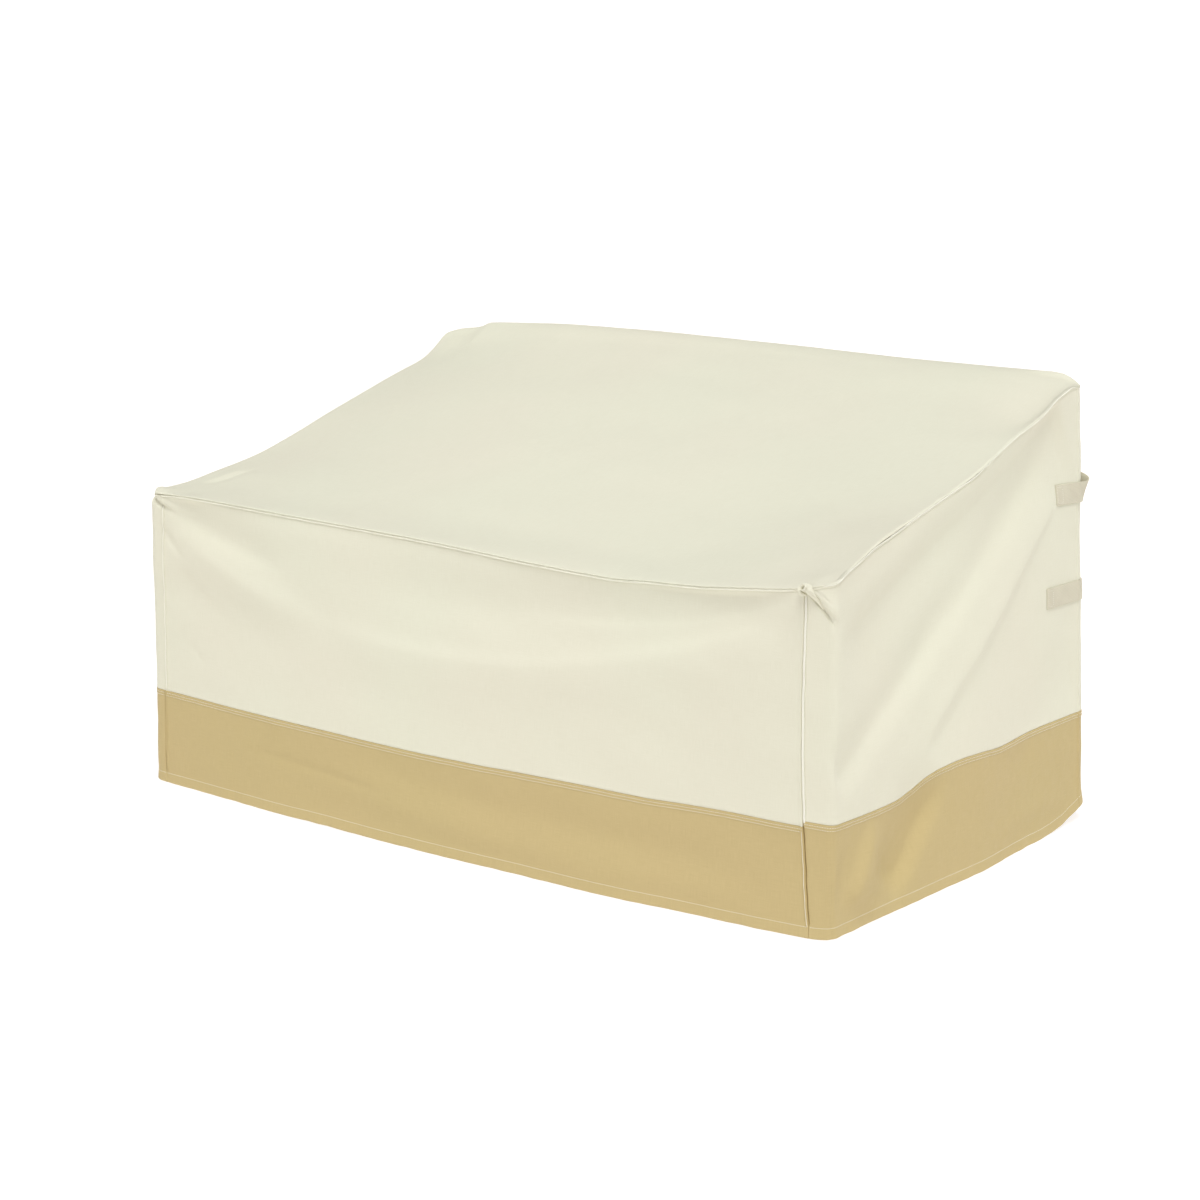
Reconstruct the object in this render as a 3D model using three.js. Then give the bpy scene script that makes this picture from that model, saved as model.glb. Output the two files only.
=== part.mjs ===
// A fitted cover for a garden bench, standing open and hollow as it hangs:
// a sloping top panel, four wall panels, a tan band with a folded hem round
// the foot, and two webbing straps sewn round the right back edge.
// Millimetres. +X is right along the front, -Y is the front, +Z is up. The
// origin is on the floor in the middle of the plan.
import * as THREE from "three";

// ---------------------------------------------------------------- sizes
const CLOTH = 1.5; // one layer of coated cloth as it is built
const HEM = 2.6; // the folded hem
const SEAM_GAP = 0.22; // how far each piece stops short of its seam line
const FRONT_LENGTH = 1519; // between the two front corners, along the floor
const SIDE_DEPTH = 853; // between a front and a back corner
const SEAM_FRONT_LEFT = 0.0245; // share of the front where the left seam runs
const SEAM_FRONT_RIGHT = 0.9605; // the right panel wraps 60 mm on to the front
const SEAM_BACK_RIGHT = 1.962; // the back panel wraps 32 mm on to the side
const SEAM_BACK_LEFT = 3.038;

// The four corners as they would meet if they were sharp, at the hem and at
// the top seam, and how far from the corner the cloth starts to round.
const CORNERS = [
  { at: "front left", hemX: -768, hemY: -410, topX: -763, topY: -410, soft: 24 },
  { at: "front right", hemX: 755.5, hemY: -415, topX: 754, topY: -415, soft: 14 },
  { at: "back right", hemX: 758, hemY: 439, topX: 731, topY: 424, soft: 33 },
  { at: "back left", hemX: -763, hemY: 438, topX: -738, topY: 424, soft: 36 },
];

// One table for each wall, a row for each section across it. share runs from
// the wall's first corner to its next; hemOut and seamOut are how far the
// cloth stands out from the straight line between the corners, and hemAlong
// how far the hem is dragged along the wall.
const FRONT = [
  { share: 0.0, hemOut: 0, hemZ: 0, bandZ: 179, seamZ: 551, seamOut: 0, hemAlong: 0 },
  { share: 0.015, hemOut: 2, hemZ: 0, bandZ: 179, seamZ: 552, seamOut: 0, hemAlong: 0 },
  { share: 0.07, hemOut: 8, hemZ: 0, bandZ: 178, seamZ: 555, seamOut: 0, hemAlong: 0 },
  { share: 0.145, hemOut: 17, hemZ: 0, bandZ: 176, seamZ: 553, seamOut: -2, hemAlong: 0 },
  { share: 0.22, hemOut: 26, hemZ: 0, bandZ: 175, seamZ: 550, seamOut: -4, hemAlong: 0 },
  { share: 0.29, hemOut: 31, hemZ: 1, bandZ: 174, seamZ: 548, seamOut: -5, hemAlong: 0 },
  { share: 0.42, hemOut: 39, hemZ: 0, bandZ: 172, seamZ: 544, seamOut: -8, hemAlong: 0 },
  { share: 0.51, hemOut: 41, hemZ: 0, bandZ: 173, seamZ: 539, seamOut: -9, hemAlong: 0 },
  { share: 0.59, hemOut: 40, hemZ: 0, bandZ: 175, seamZ: 534, seamOut: -9, hemAlong: 0 },
  { share: 0.7, hemOut: 42, hemZ: 0, bandZ: 178, seamZ: 531, seamOut: -8, hemAlong: 0 },
  { share: 0.76, hemOut: 38, hemZ: 0, bandZ: 178, seamZ: 537, seamOut: -6, hemAlong: 0 },
  { share: 0.82, hemOut: 31, hemZ: 0, bandZ: 181, seamZ: 542, seamOut: -4, hemAlong: 0 },
  { share: 0.88, hemOut: 27, hemZ: 0, bandZ: 183, seamZ: 552, seamOut: -2, hemAlong: 2 },
  { share: 0.93, hemOut: 22, hemZ: 0, bandZ: 183, seamZ: 561, seamOut: 0, hemAlong: 13 },
  { share: 0.9605, hemOut: 15, hemZ: 0, bandZ: 183, seamZ: 569, seamOut: 2, hemAlong: 27 },
  { share: 1.0, hemOut: 0, hemZ: 0, bandZ: 180, seamZ: 583, seamOut: 0, hemAlong: 0 },
];
const RIGHT = [
  { share: 0.0, hemOut: 0, hemZ: 0, bandZ: 190, seamZ: 583, seamOut: 0 },
  { share: 0.03, hemOut: 0, hemZ: 0, bandZ: 189, seamZ: 592, seamOut: -2 },
  { share: 0.09, hemOut: 1, hemZ: 0, bandZ: 187, seamZ: 603, seamOut: -7 },
  { share: 0.16, hemOut: 2, hemZ: 0, bandZ: 185, seamZ: 617, seamOut: -11 },
  { share: 0.24, hemOut: 5, hemZ: 0, bandZ: 184, seamZ: 629, seamOut: -13 },
  { share: 0.295, hemOut: 7, hemZ: 0, bandZ: 189, seamZ: 639, seamOut: -13 },
  { share: 0.35, hemOut: 8, hemZ: 0, bandZ: 204, seamZ: 649, seamOut: -12 },
  { share: 0.39, hemOut: 9, hemZ: 0, bandZ: 210, seamZ: 657, seamOut: -10 },
  { share: 0.46, hemOut: 11, hemZ: 0, bandZ: 212, seamZ: 672, seamOut: -5 },
  { share: 0.53, hemOut: 13, hemZ: 0, bandZ: 210, seamZ: 687, seamOut: -1 },
  { share: 0.62, hemOut: 9, hemZ: 0, bandZ: 204, seamZ: 713, seamOut: 0 },
  { share: 0.7, hemOut: 5, hemZ: 0, bandZ: 205, seamZ: 734, seamOut: 1 },
  { share: 0.79, hemOut: 4, hemZ: 0, bandZ: 205, seamZ: 751, seamOut: 1 },
  { share: 0.88, hemOut: 1, hemZ: 5, bandZ: 203, seamZ: 781, seamOut: 2 },
  { share: 0.94, hemOut: 0, hemZ: 18, bandZ: 202, seamZ: 791, seamOut: 1 },
  { share: 1.0, hemOut: 0, hemZ: 30, bandZ: 201, seamZ: 789, seamOut: 0 },
];
const BACK = [
  { share: 0.0, hemOut: 0, hemZ: 30, bandZ: 201, seamZ: 789, seamOut: 0 },
  { share: 0.05, hemOut: 2, hemZ: 16, bandZ: 199, seamZ: 789, seamOut: 0 },
  { share: 0.14, hemOut: 7, hemZ: 2, bandZ: 196, seamZ: 790, seamOut: -1 },
  { share: 0.3, hemOut: 13, hemZ: 0, bandZ: 192, seamZ: 792, seamOut: -3 },
  { share: 0.5, hemOut: 15, hemZ: 0, bandZ: 190, seamZ: 793, seamOut: -4 },
  { share: 0.7, hemOut: 13, hemZ: 0, bandZ: 190, seamZ: 791, seamOut: -3 },
  { share: 0.86, hemOut: 7, hemZ: 0, bandZ: 188, seamZ: 785, seamOut: -1 },
  { share: 0.95, hemOut: 2, hemZ: 2, bandZ: 188, seamZ: 771, seamOut: 0 },
  { share: 1.0, hemOut: 0, hemZ: 5, bandZ: 188, seamZ: 752, seamOut: 0 },
];
const LEFT = [
  { share: 0.0, hemOut: 0, hemZ: 5, bandZ: 188, seamZ: 752, seamOut: 0 },
  { share: 0.03, hemOut: 1, hemZ: 3, bandZ: 187, seamZ: 729, seamOut: 0 },
  { share: 0.06, hemOut: 1, hemZ: 2, bandZ: 187, seamZ: 708, seamOut: 0 },
  { share: 0.1, hemOut: 2, hemZ: 0, bandZ: 186, seamZ: 698, seamOut: 0 },
  { share: 0.17, hemOut: 5, hemZ: 0, bandZ: 185, seamZ: 682, seamOut: -1 },
  { share: 0.32, hemOut: 10, hemZ: 0, bandZ: 183, seamZ: 647, seamOut: -4 },
  { share: 0.47, hemOut: 13, hemZ: 0, bandZ: 182, seamZ: 612, seamOut: -6 },
  { share: 0.6, hemOut: 12, hemZ: 0, bandZ: 181, seamZ: 584, seamOut: -7 },
  { share: 0.75, hemOut: 9, hemZ: 0, bandZ: 180, seamZ: 564, seamOut: -6 },
  { share: 0.88, hemOut: 5, hemZ: 0, bandZ: 179, seamZ: 554, seamOut: -3 },
  { share: 1.0, hemOut: 0, hemZ: 0, bandZ: 179, seamZ: 551, seamOut: 0 },
];
const WALLS = [FRONT, RIGHT, BACK, LEFT];

// Heights of the top panel, a row for each section across it. depth is the
// share of the way from the front seam to the back seam.
const TOP = [
  { depth: 0.0, left: 566, midLeft: 555, middle: 546, midRight: 542, right: 592 },
  { depth: 0.1, left: 564, midLeft: 566, middle: 560, midRight: 563, right: 612 },
  { depth: 0.2, left: 573, midLeft: 586, middle: 586, midRight: 590, right: 631 },
  { depth: 0.32, left: 587, midLeft: 615, middle: 620, midRight: 625, right: 648 },
  { depth: 0.44, left: 612, midLeft: 649, middle: 658, midRight: 664, right: 672 },
  { depth: 0.56, left: 641, midLeft: 683, middle: 695, midRight: 701, right: 700 },
  { depth: 0.68, left: 668, midLeft: 719, middle: 731, midRight: 736, right: 733 },
  { depth: 0.8, left: 694, midLeft: 752, middle: 764, midRight: 768, right: 760 },
  { depth: 0.9, left: 714, midLeft: 783, middle: 794, midRight: 795, right: 790 },
  { depth: 0.965, left: 745, midLeft: 804, middle: 812, midRight: 809, right: 805 },
  { depth: 1.0, left: 771, midLeft: 806, middle: 814, midRight: 811, right: 806 },
];

// The crest of the back, a row for each section along it.
const CREST = [
  { share: 0.0, z: 768 },
  { share: 0.022, z: 778 },
  { share: 0.04, z: 784 },
  { share: 0.06, z: 787 },
  { share: 0.075, z: 793 },
  { share: 0.09, z: 803 },
  { share: 0.12, z: 805 },
  { share: 0.25, z: 809 },
  { share: 0.42, z: 812 },
  { share: 0.6, z: 811 },
  { share: 0.75, z: 808 },
  { share: 0.93, z: 808 },
  { share: 0.96, z: 803 },
  { share: 1.0, z: 793 },
];

// How far in from each edge the top panel takes to turn over it.
const ROLL = { front: 9, right: 24, back: 21, left: 22 };

// The main folds in the walls. Each runs as a bend through three points, at
// along (from the front left corner, round by the right) and up; out is its
// height, and upper and lower its half widths above and below the line.
const FOLDS = [
  { name: "left corner hollow", along0: 40, up0: 549, along1: 170, up1: 487, along2: 382, up2: 446, out: -8, upper: 38, lower: 22 },
  { name: "left corner ridge", along0: 50, up0: 500, along1: 190, up1: 400, along2: 470, up2: 364, out: 7, upper: 26, lower: 50 },
  { name: "left second hollow", along0: 45, up0: 420, along1: 160, up1: 372, along2: 420, up2: 300, out: -4, upper: 46, lower: 60 },
  { name: "front sag hollow", along0: 380, up0: 472, along1: 1150, up1: 400, along2: 1462, up2: 562, out: -8, upper: 60, lower: 44 },
  { name: "front sag ridge", along0: 300, up0: 385, along1: 900, up1: 255, along2: 1462, up2: 522, out: 6, upper: 21, lower: 62 },
  { name: "right corner hollow", along0: 1466, up0: 552, along1: 1484, up1: 536, along2: 1506, up2: 512, out: -6, upper: 10, lower: 12 },
  { name: "side ridge", along0: 1526, up0: 497, along1: 1892, up1: 620, along2: 2256, up2: 764, out: 3.5, upper: 40, lower: 26 },
  { name: "side hollow", along0: 1526, up0: 462, along1: 1892, up1: 586, along2: 2290, up2: 748, out: -14, upper: 40, lower: 110 },
  { name: "side second hollow", along0: 1512, up0: 254, along1: 1864, up1: 420, along2: 2292, up2: 745, out: -11, upper: 46, lower: 31 },
  { name: "side second ridge", along0: 1788, up0: 256, along1: 2030, up1: 432, along2: 2270, up2: 612, out: 5, upper: 34, lower: 22 },
  { name: "band ridge", along0: 1654, up0: 172, along1: 1616, up1: 108, along2: 1562, up2: 26, out: 12, upper: 22, lower: 50 },
  { name: "band hollow", along0: 1862, up0: 206, along1: 1782, up1: 120, along2: 1680, up2: 16, out: -19, upper: 78, lower: 22 },
  { name: "back drape", along0: 2600, up0: 640, along1: 3100, up1: 560, along2: 3640, up2: 640, out: 5, upper: 60, lower: 60 },
  { name: "left ridge", along0: 4000, up0: 560, along1: 4250, up1: 500, along2: 4560, up2: 430, out: 6, upper: 30, lower: 44 },
];

// The straps on the right side: across is how far the sewn end lies in front
// of the back corner, behind how far the strap runs on past it, and proud how
// far the loop stands off the corner.
const STRAPS = [
  { name: "upper_strap", low: 590, width: 37, across: 111, behind: 70, proud: 12, drop: 13 },
  { name: "lower_strap", low: 412, width: 37, across: 152, behind: 70, proud: 0, drop: 8.5 },
];
const WEBBING = 2; // thickness of the strap webbing
const STRAP_LIFT = 0.5; // clear of the cloth below it

// Where the meshes are divided: shares along the front and back, shares along
// the sides, heights up a wall panel and up a band.
const ALONG_FRONT = [
  0, 0.0095, SEAM_FRONT_LEFT, 0.033, 0.052, 0.077, 0.105, 0.14, 0.18, 0.22,
  0.26, 0.3, 0.34, 0.38, 0.42, 0.46, 0.5, 0.54, 0.58, 0.62, 0.66, 0.7, 0.74,
  0.78, 0.82, 0.86, 0.895, 0.925, 0.946, SEAM_FRONT_RIGHT, 0.974, 0.988, 1,
];
const ALONG_SIDE = [
  0, 0.012, 0.026, 0.055, 0.1, 0.15, 0.2, 0.26, 0.32, 0.38, 0.44, 0.5, 0.56,
  0.62, 0.68, 0.74, 0.8, 0.86, 0.91, 0.94, SEAM_BACK_RIGHT - 1, 0.981, 1,
];
const UP_PANEL = [1, 1.16, 1.3, 1.42, 1.53, 1.63, 1.73, 1.83, 1.92, 2];
const UP_BAND = [0, 0.1, 0.14, 0.55, 1];

// ---------------------------------------------------------------- reading
// A smooth curve through one column of a table.
function read(rows, key, column, x) {
  const last = rows.length - 1;
  if (x <= rows[0][key]) return rows[0][column];
  if (x >= rows[last][key]) return rows[last][column];
  let i = 0;
  while (rows[i + 1][key] < x) i += 1;
  const slope = (a, b) =>
    (rows[b][column] - rows[a][column]) / (rows[b][key] - rows[a][key]);
  const here = slope(i, i + 1);
  const tangent = (k) => {
    if (k === 0 || k === last) return here;
    const before = slope(k - 1, k);
    const after = slope(k, k + 1);
    return before * after <= 0 ? 0 : (2 * before * after) / (before + after);
  };
  const width = rows[i + 1][key] - rows[i][key];
  const t = (x - rows[i][key]) / width;
  const t2 = t * t;
  const t3 = t2 * t;
  return (
    (2 * t3 - 3 * t2 + 1) * rows[i][column] +
    (t3 - 2 * t2 + t) * width * tangent(i) +
    (3 * t2 - 2 * t3) * rows[i + 1][column] +
    (t3 - t2) * width * tangent(i + 1)
  );
}

// ---------------------------------------------------------------- walls
// u runs round the plan: 0 front left, 1 front right, 2 back right, 3 back left.
const corner = (k, level) => {
  const c = CORNERS[((k % 4) + 4) % 4];
  return level === "hem" ? [c.hemX, c.hemY] : [c.topX, c.topY];
};
const soft = (k) => CORNERS[((k % 4) + 4) % 4].soft;

function direction(k, level) {
  const [x0, y0] = corner(k, level);
  const [x1, y1] = corner(k + 1, level);
  const length = Math.hypot(x1 - x0, y1 - y0);
  return { x: (x1 - x0) / length, y: (y1 - y0) / length, length };
}

// The plan outline with its corners rounded, and the way out from it.
function plan(side, share, level) {
  const d = direction(side, level);
  const s = share * d.length;
  const [x0, y0] = corner(side, level);
  let x = x0 + d.x * s;
  let y = y0 + d.y * s;
  let tx = d.x;
  let ty = d.y;
  const round = (k, from) => {
    const w = soft(k);
    if (Math.abs(from) >= w) return;
    const a = direction(k - 1, level);
    const b = direction(k, level);
    const [cx, cy] = corner(k, level);
    const before = ((w - from) * (w - from)) / (4 * w);
    const after = ((w + from) * (w + from)) / (4 * w);
    x = cx - a.x * before + b.x * after;
    y = cy - a.y * before + b.y * after;
    tx = (a.x * (w - from) + b.x * (w + from)) / (2 * w);
    ty = (a.y * (w - from) + b.y * (w + from)) / (2 * w);
  };
  round(side, s);
  round(side + 1, s - d.length);
  const length = Math.hypot(tx, ty);
  return { x, y, outX: ty / length, outY: -tx / length };
}

// How far along the walls, from the front left corner round by the right.
function alongWalls(side, share) {
  const lengths = [FRONT_LENGTH, SIDE_DEPTH, FRONT_LENGTH, SIDE_DEPTH];
  let s = share * lengths[side];
  for (let k = 0; k < side; k += 1) s += lengths[k];
  return s;
}

const ROUND_TRIP = 2 * (FRONT_LENGTH + SIDE_DEPTH);
const bend = (a, b, c, t) =>
  (1 - t) * (1 - t) * a + 2 * t * (1 - t) * b + t * t * c;

// The height of all folds at one place on the walls.
function foldHeight(s, z) {
  let sum = 0;
  for (const f of FOLDS) {
    let near = Infinity;
    let at = 0;
    let above = 0;
    for (let k = 0; k <= 24; k += 1) {
      const t = k / 24;
      let ds = s - bend(f.along0, f.along1, f.along2, t);
      if (ds > ROUND_TRIP / 2) ds -= ROUND_TRIP;
      if (ds < -ROUND_TRIP / 2) ds += ROUND_TRIP;
      const dz = z - bend(f.up0, f.up1, f.up2, t);
      const far = Math.hypot(ds, dz);
      if (far < near) {
        near = far;
        at = t;
        above = dz;
      }
    }
    const width = above > 0 ? f.upper : f.lower;
    const fade = Math.sin(Math.PI * Math.min(1, Math.max(0, 0.08 + 0.84 * at)));
    sum += f.out * Math.exp(-(near * near) / (width * width)) * fade;
  }
  return sum;
}

const STEP_HEIGHT = 240; // above this, every wall is divided at shared heights

// v runs up the wall: 0 the hem, 1 the top of the band, 2 the top seam. The
// right panel's band stands higher than the front's where the two meet.
function wallHeight(u, v, onRight) {
  const turn = ((u % 4) + 4) % 4;
  const side = Math.floor(turn) % 4;
  const share = turn - side;
  const rows = WALLS[side];
  const hemZ = read(rows, "share", "hemZ", share);
  let bandZ = read(rows, "share", "bandZ", share);
  if (side === 0 && onRight)
    bandZ = 192 - (2 * (share - SEAM_FRONT_RIGHT)) / (1 - SEAM_FRONT_RIGHT);
  const seamZ = read(rows, "share", "seamZ", share);
  if (v <= UP_BAND[UP_BAND.length - 2])
    return hemZ + (200 - hemZ) * v * (1 - v * 0.02);
  if (v <= 1) {
    const from = UP_BAND[UP_BAND.length - 2];
    const low = hemZ + (200 - hemZ) * from * (1 - from * 0.02);
    return low + ((bandZ - low) * (v - from)) / (1 - from);
  }
  if (v <= UP_PANEL[1])
    return bandZ + ((STEP_HEIGHT - bandZ) * (v - 1)) / (UP_PANEL[1] - 1);
  return (
    STEP_HEIGHT +
    ((seamZ - STEP_HEIGHT) * (v - UP_PANEL[1])) / (2 - UP_PANEL[1])
  );
}

// A point of the walls' outer face at one height.
function wallAt(u, z) {
  const turn = ((u % 4) + 4) % 4;
  const side = Math.floor(turn) % 4;
  const share = turn - side;
  const rows = WALLS[side];
  const seamZ = read(rows, "share", "seamZ", share);
  const hem = plan(side, share, "hem");
  const top = plan(side, share, "top");
  const hemOut = read(rows, "share", "hemOut", share);
  const seamOut = read(rows, "share", "seamOut", share);
  const f = z / seamZ;
  const drag = side === 0 ? read(rows, "share", "hemAlong", share) : 0;
  const lowX = hem.x + hem.outX * hemOut;
  const lowY = hem.y + hem.outY * hemOut;
  const highX = top.x + top.outX * seamOut;
  const highY = top.y + top.outY * seamOut;
  // folds die out into the top seam and the hem
  const fold =
    foldHeight(alongWalls(side, share), z) *
    Math.min(1, Math.max(0, (seamZ - z) / 30)) *
    Math.min(1, Math.max(0, z / 60));
  const pull = drag * (1 - f) ** 3;
  return new THREE.Vector3(
    lowX + (highX - lowX) * f + top.outX * fold - hem.outY * pull,
    lowY + (highY - lowY) * f + top.outY * fold + hem.outX * pull,
    z,
  );
}

const wallPoint = (u, v, onRight) => wallAt(u, wallHeight(u, v, onRight));

function wallNormal(u, z) {
  const du = 0.003;
  const dz = 3;
  const turn = ((u % 4) + 4) % 4;
  const side = Math.floor(turn) % 4;
  const seamZ = read(WALLS[side], "share", "seamZ", turn - side);
  const high = Math.min(z + dz, seamZ);
  const along = wallAt(u + du, z).sub(wallAt(u - du, z));
  const up = wallAt(u, high).sub(wallAt(u, high - 2 * dz));
  return along.cross(up).normalize();
}

// ---------------------------------------------------------------- top
const seamPoint = (u) => wallPoint(u, 2, false);

// A point of the top panel's outer face: p across from the left, q back.
function topPoint(p, q) {
  const front = seamPoint(p);
  const back = seamPoint(3 - p);
  const left = seamPoint(4 - q);
  const right = seamPoint(1 + q);
  const c00 = seamPoint(0);
  const c10 = seamPoint(1);
  const c11 = seamPoint(2);
  const c01 = seamPoint(3);
  const mix = (k) =>
    (1 - q) * front[k] +
    q * back[k] +
    (1 - p) * left[k] +
    p * right[k] -
    ((1 - p) * (1 - q) * c00[k] +
      p * (1 - q) * c10[k] +
      p * q * c11[k] +
      (1 - p) * q * c01[k]);
  const x = mix("x");
  const y = mix("y");
  const edge = mix("z");
  // the open field of the panel, between its five measured profiles
  const columns = ["left", "midLeft", "middle", "midRight", "right"];
  const profile = columns.map((name, k) => ({
    share: k / 4,
    z: read(TOP, "depth", name, q),
  }));
  const profileFront = columns.map((name, k) => ({ share: k / 4, z: TOP[0][name] }));
  const last = TOP[TOP.length - 1];
  const profileBack = columns.map((name, k) => ({ share: k / 4, z: last[name] }));
  let field = read(profile, "share", "z", p);
  field +=
    (front.z + 6 - read(profileFront, "share", "z", p)) *
    Math.exp((-q * SIDE_DEPTH) / 90);
  field +=
    (read(CREST, "share", "z", p) - read(profileBack, "share", "z", p)) *
    Math.exp((-(1 - q) * SIDE_DEPTH) / 70);
  // turning over each edge
  const turn = (far, reach) => {
    const t = Math.min(1, Math.max(0, far / reach));
    return Math.sqrt(1 - (1 - t) * (1 - t));
  };
  const inside =
    turn(q * SIDE_DEPTH, ROLL.front) *
    turn((1 - q) * SIDE_DEPTH, ROLL.back) *
    turn(p * FRONT_LENGTH, ROLL.left) *
    turn((1 - p) * FRONT_LENGTH, ROLL.right);
  return new THREE.Vector3(x, y, edge + (field - edge) * inside);
}

function topNormal(p, q) {
  const d = 0.003;
  const p0 = Math.max(0, p - d);
  const p1 = Math.min(1, p + d);
  const q0 = Math.max(0, q - d);
  const q1 = Math.min(1, q + d);
  const across = topPoint(p1, q).sub(topPoint(p0, q));
  const back = topPoint(p, q1).sub(topPoint(p, q0));
  return across.cross(back).normalize();
}

// The place on the top panel that meets the walls at u.
function topPlace(u) {
  const turn = ((u % 4) + 4) % 4;
  if (turn <= 1) return [turn, 0];
  if (turn <= 2) return [1, turn - 1];
  if (turn <= 3) return [3 - turn, 1];
  return [0, 4 - turn];
}

// At the top seam the wall and the top share one mitre direction.
function seamMitre(u) {
  const seam = seamPoint(u);
  const wall = wallNormal(u, seam.z);
  const [p, q] = topPlace(u);
  // taken a little way in, past the turn of the edge
  const inward = (share, reach) => Math.min(1 - reach, Math.max(reach, share));
  const top = topNormal(inward(p, 0.01), inward(q, 0.02));
  const middle = wall.clone().add(top).normalize();
  return middle.divideScalar(Math.max(0.6, middle.dot(wall)));
}

// ---------------------------------------------------------------- sheets
// Closes a grid of outer points and inner points into one solid sheet.
function closeSheet(outer, inner) {
  const rows = outer.length;
  const columns = outer[0].length;
  const vertices = [];
  for (const layer of [outer, inner])
    for (const row of layer) for (const point of row) vertices.push(point);
  const at = (layer, i, j) => layer * rows * columns + i * columns + j;
  const faces = [];
  const quad = (a, b, c, d) => faces.push(a, b, c, a, c, d);
  for (let i = 0; i + 1 < rows; i += 1)
    for (let j = 0; j + 1 < columns; j += 1) {
      quad(at(0, i, j), at(0, i, j + 1), at(0, i + 1, j + 1), at(0, i + 1, j));
      quad(at(1, i, j), at(1, i + 1, j), at(1, i + 1, j + 1), at(1, i, j + 1));
    }
  for (let j = 0; j + 1 < columns; j += 1) {
    quad(at(0, 0, j), at(1, 0, j), at(1, 0, j + 1), at(0, 0, j + 1));
    const n = rows - 1;
    quad(at(0, n, j), at(0, n, j + 1), at(1, n, j + 1), at(1, n, j));
  }
  for (let i = 0; i + 1 < rows; i += 1) {
    quad(at(0, i, 0), at(0, i + 1, 0), at(1, i + 1, 0), at(1, i, 0));
    const n = columns - 1;
    quad(at(0, i, n), at(1, i, n), at(1, i + 1, n), at(0, i + 1, n));
  }
  return { vertices, faces };
}

// Makes the named mesh, its geometry about its own middle.
function meshOf(name, material, solid) {
  const box = new THREE.Box3().setFromPoints(solid.vertices);
  const middle = box.getCenter(new THREE.Vector3()).round();
  const positions = [];
  for (const v of solid.vertices)
    positions.push(v.x - middle.x, v.y - middle.y, v.z - middle.z);
  const geometry = new THREE.BufferGeometry();
  geometry.setAttribute(
    "position",
    new THREE.Float32BufferAttribute(positions, 3),
  );
  geometry.setIndex(solid.faces);
  geometry.computeVertexNormals();
  const mesh = new THREE.Mesh(geometry, material);
  mesh.name = name;
  mesh.position.copy(middle);
  return mesh;
}

const towards = (from, to) => to.clone().sub(from).normalize();

// The divisions of the walls between two places, shared with the top panel.
function divisionsBetween(from, to) {
  const all = [];
  for (let turn = 0; turn < 2; turn += 1)
    for (let side = 0; side < 4; side += 1) {
      const shares = side % 2 === 0 ? ALONG_FRONT : ALONG_SIDE;
      const way = side < 2 ? shares : shares.map((s) => 1 - s).reverse();
      for (const share of way)
        if (share < 1) all.push(turn * 4 + side + share);
    }
  return all.filter((u) => u > from - 1e-9 && u < to + 1e-9);
}

// A wall panel or band from u to u, and from one height to another.
function wallSheet(name, material, from, to, ups, thickness, onRight) {
  const us = divisionsBetween(from, to);
  const outer = [];
  const inner = [];
  ups.forEach((v, i) => {
    const outerRow = [];
    const innerRow = [];
    us.forEach((u, j) => {
      const z = wallHeight(u, v, onRight);
      const point = wallAt(u, z);
      const moved = point.clone();
      // stop short of the seams round the piece
      if (v === 2) moved.addScaledVector(towards(point, wallAt(u, z - 4)), SEAM_GAP);
      if (v === 1 && i === 0)
        moved.addScaledVector(towards(point, wallAt(u, z + 4)), SEAM_GAP);
      if (v === 1 && i > 0)
        moved.addScaledVector(towards(point, wallAt(u, z - 4)), SEAM_GAP);
      if (j === 0)
        moved.addScaledVector(towards(point, wallAt(u + 0.004, z)), SEAM_GAP);
      if (j === us.length - 1)
        moved.addScaledVector(towards(point, wallAt(u - 0.004, z)), SEAM_GAP);
      const way = v === 2 ? seamMitre(u) : wallNormal(u, z);
      outerRow.push(moved);
      innerRow.push(moved.clone().addScaledVector(way, -thickness(v)));
    });
    outer.push(outerRow);
    inner.push(innerRow);
  });
  return meshOf(name, material, closeSheet(outer, inner));
}

function topSheet(name, material) {
  const outer = [];
  const inner = [];
  ALONG_SIDE.forEach((q, i) => {
    const outerRow = [];
    const innerRow = [];
    ALONG_FRONT.forEach((p, j) => {
      const point = topPoint(p, q);
      const moved = point.clone();
      const onFront = i === 0;
      const onBack = i === ALONG_SIDE.length - 1;
      const onLeft = j === 0;
      const onRight = j === ALONG_FRONT.length - 1;
      if (onFront) moved.addScaledVector(towards(point, topPoint(p, q + 0.005)), SEAM_GAP);
      if (onBack) moved.addScaledVector(towards(point, topPoint(p, q - 0.005)), SEAM_GAP);
      if (onLeft) moved.addScaledVector(towards(point, topPoint(p + 0.004, q)), SEAM_GAP);
      if (onRight) moved.addScaledVector(towards(point, topPoint(p - 0.004, q)), SEAM_GAP);
      let way = null;
      if (onFront) way = seamMitre(p);
      else if (onBack) way = seamMitre(3 - p);
      else if (onLeft) way = seamMitre(4 - q);
      else if (onRight) way = seamMitre(1 + q);
      else way = topNormal(p, q);
      outerRow.push(moved);
      innerRow.push(moved.clone().addScaledVector(way, -CLOTH));
    });
    outer.push(outerRow);
    inner.push(innerRow);
  });
  return meshOf(name, material, closeSheet(outer, inner));
}

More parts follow.
